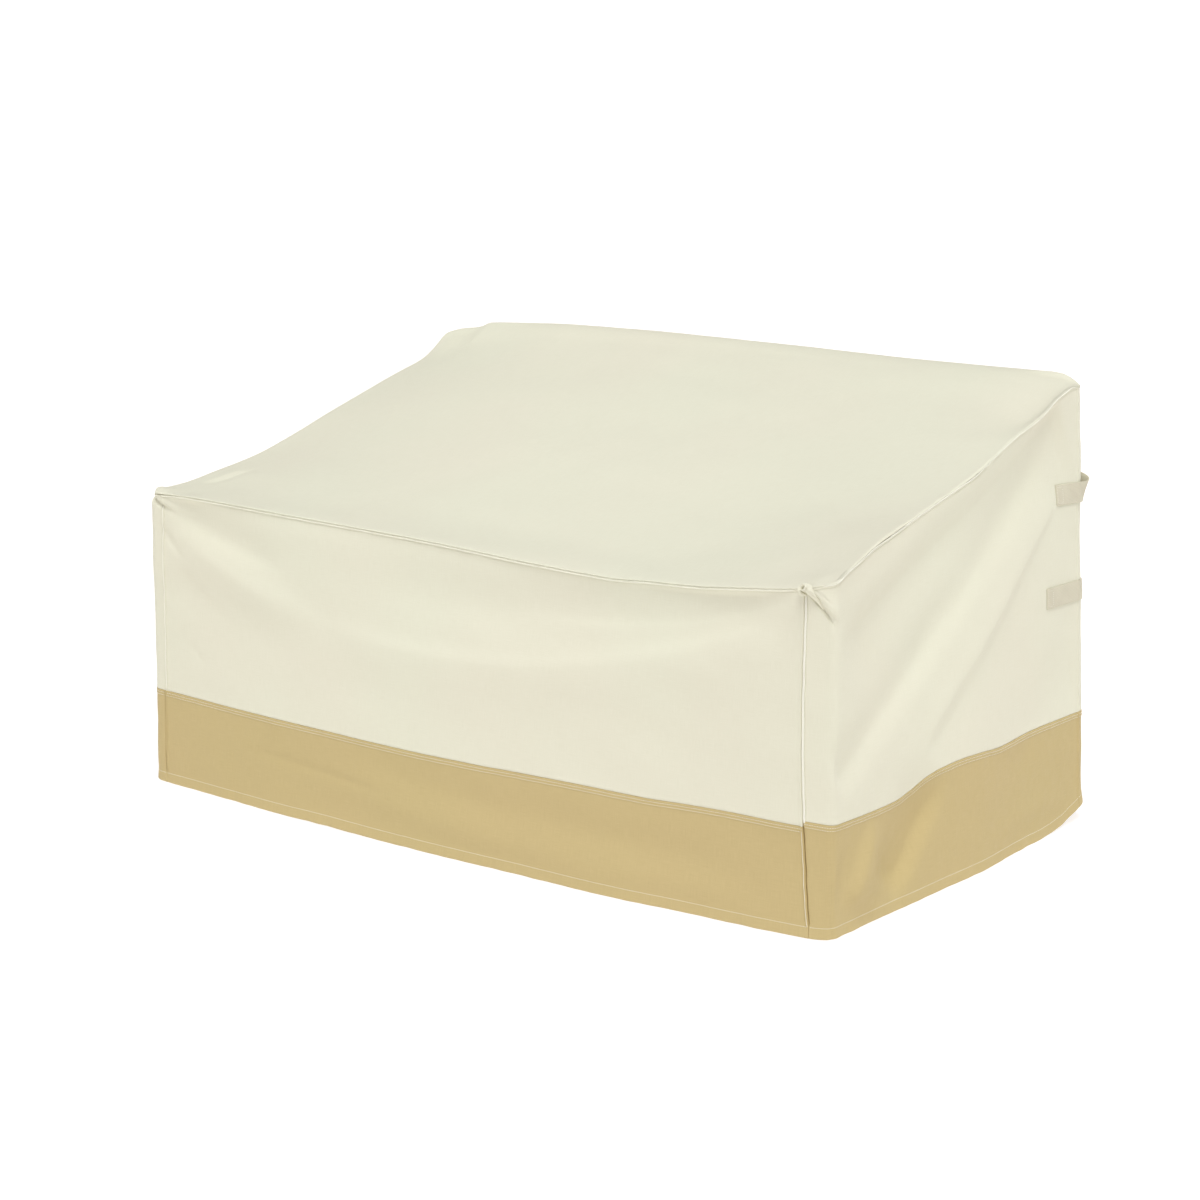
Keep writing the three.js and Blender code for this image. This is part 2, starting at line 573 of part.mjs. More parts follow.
// A strap laid on the right wall and round the back corner.
function strapSheet(row, material) {
  const stations = 26;
  const from = 2 - row.across / SIDE_DEPTH;
  const to = 2 + row.behind / FRONT_LENGTH;
  const outer = [];
  const inner = [];
  for (let i = 0; i < 3; i += 1) {
    const outerRow = [];
    const innerRow = [];
    for (let j = 0; j <= stations; j += 1) {
      const share = j / stations;
      const before = row.across / (row.across + row.behind);
      const u =
        share < before
          ? from + ((2 - from) * share) / before
          : 2 + ((to - 2) * (share - before)) / (1 - before);
      const z = row.low + row.width * (i / 2) + row.drop * share;
      const base = wallAt(u, z);
      const way = wallNormal(u, z);
      const s = (share - before) / 0.16;
      const lift = STRAP_LIFT + row.proud * Math.exp(-s * s);
      outerRow.push(base.clone().addScaledVector(way, lift + WEBBING));
      innerRow.push(base.clone().addScaledVector(way, lift));
    }
    outer.push(outerRow);
    inner.push(innerRow);
  }
  return meshOf(row.name, material, closeSheet(outer, inner));
}

// ---------------------------------------------------------------- the cover
const cream = new THREE.MeshStandardMaterial({ color: 0xe5e5d1, roughness: 0.62, metalness: 0 });
const tan = new THREE.MeshStandardMaterial({ color: 0xcab483, roughness: 0.6, metalness: 0 });
const webbing = new THREE.MeshStandardMaterial({ color: 0xd8d1bb, roughness: 0.85, metalness: 0 });

const single = () => CLOTH;
const hemmed = (v) => (v <= UP_BAND[1] ? HEM : CLOTH);

const cover = new THREE.Group();
cover.name = "bench_cover";
const panels = new THREE.Group();
panels.name = "panels";
const bands = new THREE.Group();
bands.name = "bands";
const straps = new THREE.Group();
straps.name = "straps";
cover.add(panels, bands, straps);

panels.add(topSheet("top_panel", cream));
const PIECES = [
  { side: "front", from: SEAM_FRONT_LEFT, to: SEAM_FRONT_RIGHT, onRight: false },
  { side: "right", from: SEAM_FRONT_RIGHT, to: SEAM_BACK_RIGHT, onRight: true },
  { side: "back", from: SEAM_BACK_RIGHT, to: SEAM_BACK_LEFT, onRight: false },
  { side: "left", from: SEAM_BACK_LEFT, to: 4 + SEAM_FRONT_LEFT, onRight: false },
];
for (const { side, from, to, onRight } of PIECES) {
  panels.add(wallSheet(side + "_panel", cream, from, to, UP_PANEL, single, onRight));
  bands.add(wallSheet(side + "_band", tan, from, to, UP_BAND, hemmed, onRight));
}
for (const row of STRAPS) straps.add(strapSheet(row, webbing));

export default cover;
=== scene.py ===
"""Looks of a fitted cloth cover for a garden bench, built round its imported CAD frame.

The cloth's tables are the CAD model's own sizes, in millimetres: +X right along
the front, -Y out of the front, +Z up. Every sheet is rebuilt finely on the same
surface, with its seams rolled in, its hem folded, and its small folds added.
"""
import math

import bpy
import numpy as np
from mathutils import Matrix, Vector


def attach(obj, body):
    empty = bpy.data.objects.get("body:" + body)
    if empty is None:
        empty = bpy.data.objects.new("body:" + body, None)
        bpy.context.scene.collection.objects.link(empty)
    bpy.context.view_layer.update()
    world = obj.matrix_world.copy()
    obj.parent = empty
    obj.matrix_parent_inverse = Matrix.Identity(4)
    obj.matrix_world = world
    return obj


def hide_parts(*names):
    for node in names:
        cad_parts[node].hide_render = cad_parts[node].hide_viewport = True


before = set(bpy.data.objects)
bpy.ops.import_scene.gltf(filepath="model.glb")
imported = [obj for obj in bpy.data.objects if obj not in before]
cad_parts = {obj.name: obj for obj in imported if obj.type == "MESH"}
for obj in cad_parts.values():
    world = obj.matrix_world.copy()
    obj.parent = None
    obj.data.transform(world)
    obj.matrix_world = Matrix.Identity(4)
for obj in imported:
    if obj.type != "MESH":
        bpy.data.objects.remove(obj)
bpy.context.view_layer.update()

# ------------------------------------------------------------------ sizes (mm)
CLOTH = 1.1  # one layer of coated cloth
HEM = 2.3  # three layers, folded
HEM_HEIGHT = 20.0
FELL = 10.5  # height of the doubled strip where band and panel overlap
SEAM_GAP = 0.16
FRONT_LENGTH = 1519.0
SIDE_DEPTH = 853.0
LOOP = 2 * (FRONT_LENGTH + SIDE_DEPTH)
SEAM_FRONT_LEFT = 0.0245
SEAM_FRONT_RIGHT = 0.9605
SEAM_BACK_RIGHT = 1.962
SEAM_BACK_LEFT = 3.038


def table(columns, *rows):
    """A table with named columns, a row for each section."""
    data = np.array(rows, float)
    return {name: data[:, k] for k, name in enumerate(columns.split())}


CORNERS = table(
    "hemX hemY topX topY soft",
    (-768, -410, -763, -410, 24),  # front left
    (755.5, -415, 754, -415, 14),  # front right
    (758, 439, 731, 424, 33),  # back right
    (-763, 438, -738, 424, 36),  # back left
)
WALL = "share hemOut hemZ bandZ seamZ seamOut hemAlong"
FRONT = table(
    WALL,
    (0.0, 0, 0, 179, 551, 0, 0),
    (0.015, 2, 0, 179, 552, 0, 0),
    (0.07, 8, 0, 178, 555, 0, 0),
    (0.145, 17, 0, 176, 553, -2, 0),
    (0.22, 26, 0, 175, 550, -4, 0),
    (0.29, 31, 1, 174, 548, -5, 0),
    (0.42, 39, 0, 172, 544, -8, 0),
    (0.51, 41, 0, 173, 539, -9, 0),
    (0.59, 40, 0, 175, 534, -9, 0),
    (0.7, 42, 0, 178, 531, -8, 0),
    (0.76, 38, 0, 178, 537, -6, 0),
    (0.82, 31, 0, 181, 542, -4, 0),
    (0.88, 27, 0, 183, 552, -2, 2),
    (0.93, 22, 0, 183, 561, 0, 13),
    (0.9605, 15, 0, 183, 569, 2, 27),
    (1.0, 0, 0, 180, 583, 0, 0),
)
RIGHT = table(
    WALL,
    (0.0, 0, 0, 190, 583, 0, 0),
    (0.03, 0, 0, 189, 592, -2, 0),
    (0.09, 1, 0, 187, 603, -7, 0),
    (0.16, 2, 0, 185, 617, -11, 0),
    (0.24, 5, 0, 184, 629, -13, 0),
    (0.295, 7, 0, 189, 639, -13, 0),
    (0.35, 8, 0, 204, 649, -12, 0),
    (0.39, 9, 0, 210, 657, -10, 0),
    (0.46, 11, 0, 212, 672, -5, 0),
    (0.53, 13, 0, 210, 687, -1, 0),
    (0.62, 9, 0, 204, 713, 0, 0),
    (0.7, 5, 0, 205, 734, 1, 0),
    (0.79, 4, 0, 205, 751, 1, 0),
    (0.88, 1, 5, 203, 781, 2, 0),
    (0.94, 0, 18, 202, 791, 1, 0),
    (1.0, 0, 30, 201, 789, 0, 0),
)
BACK = table(
    WALL,
    (0.0, 0, 30, 201, 789, 0, 0),
    (0.05, 2, 16, 199, 789, 0, 0),
    (0.14, 7, 2, 196, 790, -1, 0),
    (0.3, 13, 0, 192, 792, -3, 0),
    (0.5, 15, 0, 190, 793, -4, 0),
    (0.7, 13, 0, 190, 791, -3, 0),
    (0.86, 7, 0, 188, 785, -1, 0),
    (0.95, 2, 2, 188, 771, 0, 0),
    (1.0, 0, 5, 188, 752, 0, 0),
)
LEFT = table(
    WALL,
    (0.0, 0, 5, 188, 752, 0, 0),
    (0.03, 1, 3, 187, 729, 0, 0),
    (0.06, 1, 2, 187, 708, 0, 0),
    (0.1, 2, 0, 186, 698, 0, 0),
    (0.17, 5, 0, 185, 682, -1, 0),
    (0.32, 10, 0, 183, 647, -4, 0),
    (0.47, 13, 0, 182, 612, -6, 0),
    (0.6, 12, 0, 181, 584, -7, 0),
    (0.75, 9, 0, 180, 564, -6, 0),
    (0.88, 5, 0, 179, 554, -3, 0),
    (1.0, 0, 0, 179, 551, 0, 0),
)
WALLS = (FRONT, RIGHT, BACK, LEFT)
TOP = table(
    "depth left midLeft middle midRight right",
    (0.0, 566, 555, 546, 542, 592),
    (0.1, 564, 566, 560, 563, 612),
    (0.2, 573, 586, 586, 590, 631),
    (0.32, 587, 615, 620, 625, 648),
    (0.44, 612, 649, 658, 664, 672),
    (0.56, 641, 683, 695, 701, 700),
    (0.68, 668, 719, 731, 736, 733),
    (0.8, 694, 752, 764, 768, 760),
    (0.9, 714, 783, 794, 795, 790),
    (0.965, 745, 804, 812, 809, 805),
    (1.0, 771, 806, 814, 811, 806),
)
PROFILES = ("left", "midLeft", "middle", "midRight", "right")
CREST = table(
    "share z",
    (0.0, 768),
    (0.022, 778),
    (0.04, 784),
    (0.06, 787),
    (0.075, 793),
    (0.09, 803),
    (0.12, 805),
    (0.25, 809),
    (0.42, 812),
    (0.6, 811),
    (0.75, 808),
    (0.93, 810),
    (0.953, 811),
    (0.969, 809),
    (0.984, 803),
    (1.0, 793),
)
ROLL = {"front": 4.5, "right": 48.0, "back": 21.0, "left": 22.0}

# The folds in the walls, each a bend through three points. along runs from the
# front left corner round by the right; out is the height, upper and lower the
# half widths above and below the line, rise and fall the shares of the length
# over which it grows and dies.
BEND = "along0 up0 along1 up1 along2 up2 out upper lower rise fall"
FOLDS = table(
    BEND,
    # the main folds, as in the CAD model
    (40, 549, 170, 487, 382, 446, -8, 38, 22, 0.3, 0.35),
    (50, 500, 190, 400, 470, 364, 7, 26, 50, 0.35, 0.35),
    (45, 420, 160, 372, 420, 300, -4, 46, 60, 0.25, 0.45),
    (380, 472, 1150, 400, 1462, 562, -8, 60, 44, 0.3, 0.2),
    (300, 385, 900, 255, 1462, 522, 6, 21, 62, 0.3, 0.15),
    (1526, 497, 1892, 620, 2256, 764, 3.5, 40, 26, 0.12, 0.15),
    (1526, 462, 1892, 586, 2290, 748, -14, 40, 110, 0.12, 0.05),
    (1512, 254, 1864, 420, 2292, 745, -11, 46, 31, 0.06, 0.2),
    (1788, 256, 2030, 432, 2270, 612, 5, 34, 14, 0.12, 0.1),
    (1800, 224, 1950, 322, 2254, 560, -2.5, 14, 40, 0.2, 0.3),
    (2600, 640, 3100, 560, 3640, 640, 5, 60, 60, 0.4, 0.4),
    (4000, 560, 4250, 500, 4560, 430, 6, 30, 44, 0.4, 0.4),
    # the front panel's finer folds: two sags, and creases out of its left corner
    (800, 438, 1200, 428, 1464, 548, 2.4, 11, 20, 0.4, 0.12),
    (34, 546, 70, 532, 150, 508, 2.0, 4, 9, 0.15, 0.7),
    (26, 500, 62, 462, 120, 418, -2.2, 9, 8, 0.2, 0.5),
    (96, 290, 120, 262, 156, 240, -1.2, 8, 8, 0.4, 0.4),
    (60, 469, 130, 394, 250, 334, 1.4, 14, 12, 0.3, 0.4),
    # the right panel's finer folds
    (1560, 456, 1740, 480, 1990, 590, 2.5, 40, 48, 0.4, 0.4),
    (2100, 240, 2200, 330, 2290, 420, 2.0, 40, 30, 0.4, 0.4),
    (2080, 210, 2200, 246, 2340, 262, -4.5, 110, 44, 0.4, 0.1),
    # the bands
    (430, 150, 800, 88, 1440, 100, -3.2, 30, 26, 0.3, 0.3),
    (480, 92, 850, 20, 1440, 38, 3.4, 26, 24, 0.3, 0.2),
    (240, 106, 420, 104, 690, 76, -1.9, 8, 8, 0.3, 0.4),
    (1654, 172, 1616, 108, 1562, 26, 12, 20, 50, 0.35, 0.3),
    (1862, 206, 1782, 120, 1680, 16, -19, 78, 22, 0.42, 0.2),
    (1560, 150, 1544, 100, 1534, 30, -2.0, 12, 12, 0.3, 0.2),
    (2020, 180, 2120, 150, 2230, 190, -2.0, 24, 24, 0.4, 0.4),
    (1980, 30, 2120, 66, 2290, 60, 2.4, 26, 20, 0.4, 0.3),
)

# Creases that run right up to the top seam at the two gathered front corners.
CREASES = table(
    BEND,
    (1470, 575, 1497, 554, 1533, 516, 5.5, 15, 3.4, 0.02, 0.4),
    (1468, 564, 1491, 542, 1521, 508, -5.0, 2.2, 2.6, 0.02, 0.4),
    (1472, 562, 1479, 554, 1488, 543, -3.2, 2.0, 2.2, 0.15, 0.5),
    (1476, 574, 1496, 561, 1516, 546, -1.9, 1.9, 2.6, 0.2, 0.5),
    (1484, 563, 1502, 550, 1522, 530, -1.2, 1.9, 2.6, 0.2, 0.5),
    (1474, 586, 1500, 584, 1540, 594, -1.4, 5, 5, 0.2, 0.6),
    (-30, 556, 16, 543, 86, 515, -8.0, 3.4, 6.0, 0.0, 0.6),
)

# Beside each upright seam one piece is lapped over the other and stands out in a
# narrow ridge; the piece it lies on is drawn in a little. Heights of that ridge
# (+) or groove (-) for the panel and for the band.
SEAMS = {
    "front left": {"before": (-1.0, -3.4), "after": (1.4, 1.7)},
    "front right": {"before": (0.8, 2.1), "after": (0.2, -2.4)},
    "back right": {"before": (1.2, 1.0), "after": (0.0, -0.5)},
    "back left": {"before": (-0.2, -0.5), "after": (1.2, 1.0)},
}
LAP = 2.7  # half width of the ridge


# ---------------------------------------------------------------- reading
def cubic(keys, values, x):
    """A smooth curve through values (last axis) at keys, with no overshoot."""
    x = np.clip(np.asarray(x, float), keys[0], keys[-1])
    i = np.clip(np.searchsorted(keys, x, side="left") - 1, 0, len(keys) - 2)
    gaps = np.diff(keys)
    slopes = np.diff(values, axis=-1) / gaps
    before, after = slopes[..., :-1], slopes[..., 1:]
    product, total = before * after, before + after
    inner = np.where(product > 0, 2 * product / np.where(total == 0, 1, total), 0)
    tangents = np.concatenate([slopes[..., :1], inner, slopes[..., -1:]], -1)
    w = gaps[i]
    t = (x - keys[i]) / w
    t2, t3 = t * t, t * t * t
    return (
        (2 * t3 - 3 * t2 + 1) * values[..., i]
        + (t3 - 2 * t2 + t) * w * tangents[..., i]
        + (3 * t2 - 2 * t3) * values[..., i + 1]
        + (t3 - t2) * w * tangents[..., i + 1]
    )


def smooth(x):
    x = np.clip(x, 0, 1)
    return x * x * (3 - 2 * x)


def side_of(u):
    turn = np.mod(u, 4.0)
    side = np.floor(turn).astype(int) % 4
    return side, turn - side


def walls(u, column):
    """One column of the wall tables at u, which runs 0 to 4 round the plan."""
    side, share = side_of(u)
    out = np.zeros(np.shape(u))
    for k, rows in enumerate(WALLS):
        m = side == k
        out[m] = cubic(rows["share"], rows[column], share[m])
    return out


def along(u):
    """Millimetres along the walls, which never wrap back."""
    side, share = side_of(u)
    lengths = np.array([FRONT_LENGTH, SIDE_DEPTH, FRONT_LENGTH, SIDE_DEPTH])
    starts = np.concatenate([[0], np.cumsum(lengths)])[:4]
    return starts[side] + share * lengths[side] + LOOP * np.floor(u / 4.0)


def plan(u, level):
    """The plan outline with rounded corners, and the way out from it."""
    side, share = side_of(u)
    cx, cy = CORNERS[level + "X"], CORNERS[level + "Y"]
    wx, wy = np.roll(cx, -1) - cx, np.roll(cy, -1) - cy
    length = np.hypot(wx, wy)
    dx, dy = wx / length, wy / length
    s = share * length[side]
    x, y = cx[side] + dx[side] * s, cy[side] + dy[side] * s
    tx, ty = dx[side].copy(), dy[side].copy()
    for k, from_corner in ((side, s), ((side + 1) % 4, s - length[side])):
        w = CORNERS["soft"][k]
        m = np.abs(from_corner) < w
        a, b = (k - 1) % 4, k
        back = (w - from_corner) ** 2 / (4 * w)
        on = (w + from_corner) ** 2 / (4 * w)
        x = np.where(m, cx[k] - dx[a] * back + dx[b] * on, x)
        y = np.where(m, cy[k] - dy[a] * back + dy[b] * on, y)
        tx = np.where(m, (dx[a] * (w - from_corner) + dx[b] * (w + from_corner)) / (2 * w), tx)
        ty = np.where(m, (dy[a] * (w - from_corner) + dy[b] * (w + from_corner)) / (2 * w), ty)
    n = np.hypot(tx, ty)
    return x, y, ty / n, -tx / n


# ------------------------------------------------------------------ folds
def bend_points(row, count=48):
    t = np.linspace(0, 1, count + 1)
    a, b, c = (1 - t) ** 2, 2 * t * (1 - t), t * t
    return np.stack(
        [
            a * row["along0"] + b * row["along1"] + c * row["along2"],
            a * row["up0"] + b * row["up1"] + c * row["up2"],
        ],
        -1,
    )


def fold_height(rows, s, z, period=LOOP):
    """The height of all folds of a table at places (s, z)."""
    total = np.zeros(np.broadcast(s, z).shape)
    s, z = np.broadcast_arrays(s, z)
    for k in range(len(rows["out"])):
        row = {name: column[k] for name, column in rows.items()}
        line = bend_points(row)
        reach = 2.9 * max(row["upper"], row["lower"])
        middle = line[:, 0].mean()
        ss = s if period is None else s - period * np.round((s - middle) / period)
        m = (
            (ss > line[:, 0].min() - reach)
            & (ss < line[:, 0].max() + reach)
            & (z > line[:, 1].min() - reach)
            & (z < line[:, 1].max() + reach)
        )
        if not m.any():
            continue
        ps, pz = ss[m], z[m]
        near = np.full(ps.shape, 1e9)
        at = np.zeros(ps.shape)
        above = np.zeros(ps.shape)
        for i in range(len(line) - 1):
            ax, az = line[i]
            bx, bz = line[i + 1]
            lx, lz = bx - ax, bz - az
            t = np.clip(((ps - ax) * lx + (pz - az) * lz) / (lx * lx + lz * lz), 0, 1)
            ox, oz = ps - (ax + lx * t), pz - (az + lz * t)
            far = np.hypot(ox, oz)
            closer = far < near
            near = np.where(closer, far, near)
            at = np.where(closer, (i + t) / (len(line) - 1), at)
            above = np.where(closer, (oz * lx - ox * lz) * np.sign(lx if lx else 1), above)
        width = np.where(above > 0, row["upper"], row["lower"])
        rise = smooth(at / max(row["rise"], 1e-3)) if row["rise"] > 0 else 1.0
        fall = smooth((1 - at) / max(row["fall"], 1e-3)) if row["fall"] > 0 else 1.0
        total[m] += row["out"] * np.exp(-((near / width) ** 2)) * rise * fall
    return total


def waves(seed, count, longest, shortest, slant=0.0, stretch=1.0):
    """A set of seeded waves that close up round the walls."""
    rng = np.random.default_rng(seed)
    length = np.exp(rng.uniform(math.log(shortest), math.log(longest), count))
    angle = rng.uniform(0, 2 * math.pi, count)
    fx, fz = np.cos(angle) / length / stretch, np.sin(angle) / length
    fx = np.round((fx + slant * fz) * LOOP) / LOOP
    return fx, fz, rng.uniform(0, 2 * math.pi, count)


def ripple(wave, s, z):
    fx, fz, phase = wave
    s, z = np.broadcast_arrays(s, z)
    total = np.zeros(s.shape)
    for a, b, c in zip(fx, fz, phase):
        total += np.cos(2 * math.pi * (a * s + b * z) + c)
    return total / math.sqrt(len(fx) / 2)


BROAD = waves(11, 14, 700, 260, stretch=1.5)
MIDDLING = waves(12, 26, 210, 75, stretch=1.3)
FINE = waves(13, 34, 52, 19)
PUCKER = waves(14, 12, 60, 26)


def cloth_noise(s, z):
    return 0.75 * ripple(BROAD, s, z) + 0.3 * ripple(MIDDLING, s, z) + 0.07 * ripple(FINE, s, z)


# ------------------------------------------------------------------ walls
def band_height(u, on_right):
    z = walls(u, "bandZ")
    side, share = side_of(u)
    if on_right:
        step = 192 - 2 * (share - SEAM_FRONT_RIGHT) / (1 - SEAM_FRONT_RIGHT)
        z = np.where(side == 0, step, z)
    return z


def wall_base(u, z):
    """The walls' plain outer face, and the level way out from it."""
    u, z = np.broadcast_arrays(u, z)
    seam = walls(u, "seamZ")
    hx, hy, hox, hoy = plan(u, "hem")
    tx, ty, tox, toy = plan(u, "top")
    hem_out, seam_out = walls(u, "hemOut"), walls(u, "seamOut")
    drag = walls(u, "hemAlong")
    f = z / seam
    low_x, low_y = hx + hox * hem_out, hy + hoy * hem_out
    high_x, high_y = tx + tox * seam_out, ty + toy * seam_out
    pull = drag * (1 - f) ** 3
    point = np.stack(
        [low_x + (high_x - low_x) * f - hoy * pull, low_y + (high_y - low_y) * f + hox * pull, z], -1
    )
    return point, np.stack([tox, toy, np.zeros_like(tox)], -1)


def ridge(distance, reach):
    return 0.5 + 0.5 * np.cos(math.pi * np.clip(np.abs(distance) / reach, 0, 1))


def wall_detail(piece, u, z):
    """How far the cloth stands out from its plain face at each place."""
    s = along(u)
    seam, hem, band = walls(u, "seamZ"), walls(u, "hemZ"), band_height(u, piece["on_right"])
    to_top = seam - z
    above_hem = z - hem
    coarse = fold_height(FOLDS, s, z)
    h = coarse * smooth(to_top / 14) * np.clip(z / 60, 0, 1)
    h += fold_height(CREASES, s, z)
    # the front left corner is drawn in under the top
    from_corner = np.abs((s + LOOP / 2) % LOOP - LOOP / 2)
    h -= 6.0 * np.exp(-((from_corner / 18) ** 2) - (to_top / 7) ** 2)
    h += cloth_noise(s, z) * smooth((to_top + 4) / 40) * smooth((above_hem + 6) / 60)
    # upright seams at both ends of the piece
    for end, row, way in piece["ends"]:
        beside = np.abs(s - along(np.array([end]))[0])
        panel, banded = row[way]
        into_hem = smooth((above_hem - HEM_HEIGHT + 3) / 8)
        lift = np.where(z > band, panel, banded * into_hem)
        h += lift * np.where(lift > 0, ridge(beside - LAP, LAP), ridge(beside, 1.5 * LAP))
        h += 0.35 * ripple(PUCKER, s * 0.4, z) * np.exp(-beside / 9) * into_hem
    if piece["kind"] == "panel":
        # the top seam's rolled edge, and the small puckers below it
        lip = 0.8 + 0.8 * smooth((s - 560) / 200) * smooth((LOOP / 2 - s) / 900)
        h += lip * ridge(to_top, 4.5)
        h -= 0.75 * np.exp(-(((to_top - 4.2) / 0.9) ** 2))
        h += 0.45 * ripple(PUCKER, s, z * 0.3) * np.exp(-np.abs(to_top) / 15) * smooth(to_top / 5)
        h += 0.25 * ridge(z - band - 4.0, 4.0)
    else:
        below = band - z
        h += 0.95 * smooth((FELL + 1.0 - below) / 1.8)
        for line in (4.4, 9.2):
            h -= 0.4 * np.exp(-(((below - line) / 0.9) ** 2))
        h += 0.3 * ripple(PUCKER, s * 1.1, z * 0.2) * np.exp(-np.abs(below - 9) / 9)
        h += 0.55 * smooth((HEM_HEIGHT + 1.2 - above_hem) / 2.0)
        h += 2.2 * np.clip(1 - above_hem / (HEM_HEIGHT + 4), 0, 1) ** 1.5
        h -= 0.4 * np.exp(-(((above_hem - HEM_HEIGHT + 1.2) / 0.9) ** 2))
        h += 0.5 * ripple(PUCKER, s * 0.8, z * 0.1) * np.exp(-np.abs(above_hem) / 22)
    return h


def wall_points(piece, u, z):
    u, z = np.broadcast_arrays(np.asarray(u, float), np.asarray(z, float))
    point, out = wall_base(u, z)
    return point + out * wall_detail(piece, u, z)[..., None]


def unit(v):
    return v / np.maximum(np.linalg.norm(v, axis=-1, keepdims=True), 1e-12)


def wall_normals(piece, u, z):
    du, dz = 0.8 / FRONT_LENGTH, 0.8
    across = wall_points(piece, u + du, z) - wall_points(piece, u - du, z)
    up = wall_points(piece, u, z + dz) - wall_points(piece, u, z - dz)
    return unit(np.cross(across, up))


# -------------------------------------------------------------------- top
def seam_points(u):
    return wall_base(u, walls(u, "seamZ"))[0]


# Folds of the top panel, along running from its left edge and up from its front.
TOP_FOLDS = table(
    BEND,
    (66, 96, 84, 140, 96, 206, -2.6, 9, 11, 0.2, 0.3),
    (52, 100, 66, 140, 74, 196, 2.4, 8, 8, 0.2, 0.3),
    (1464, 836, 1480, 736, 1506, 560, -8, 100, 52, 0.08, 0.35),
)


# Places where it is puffed up (+) or dented (-): x, y, half widths and height.
PUFFS = (
    (26, 20, 24, 19, 7.0),
    (84, 34, 26, 24, -2.5),
    (1478, 26, 26, 20, 2.5),
    (1408, 60, 50, 44, -2.0),
)


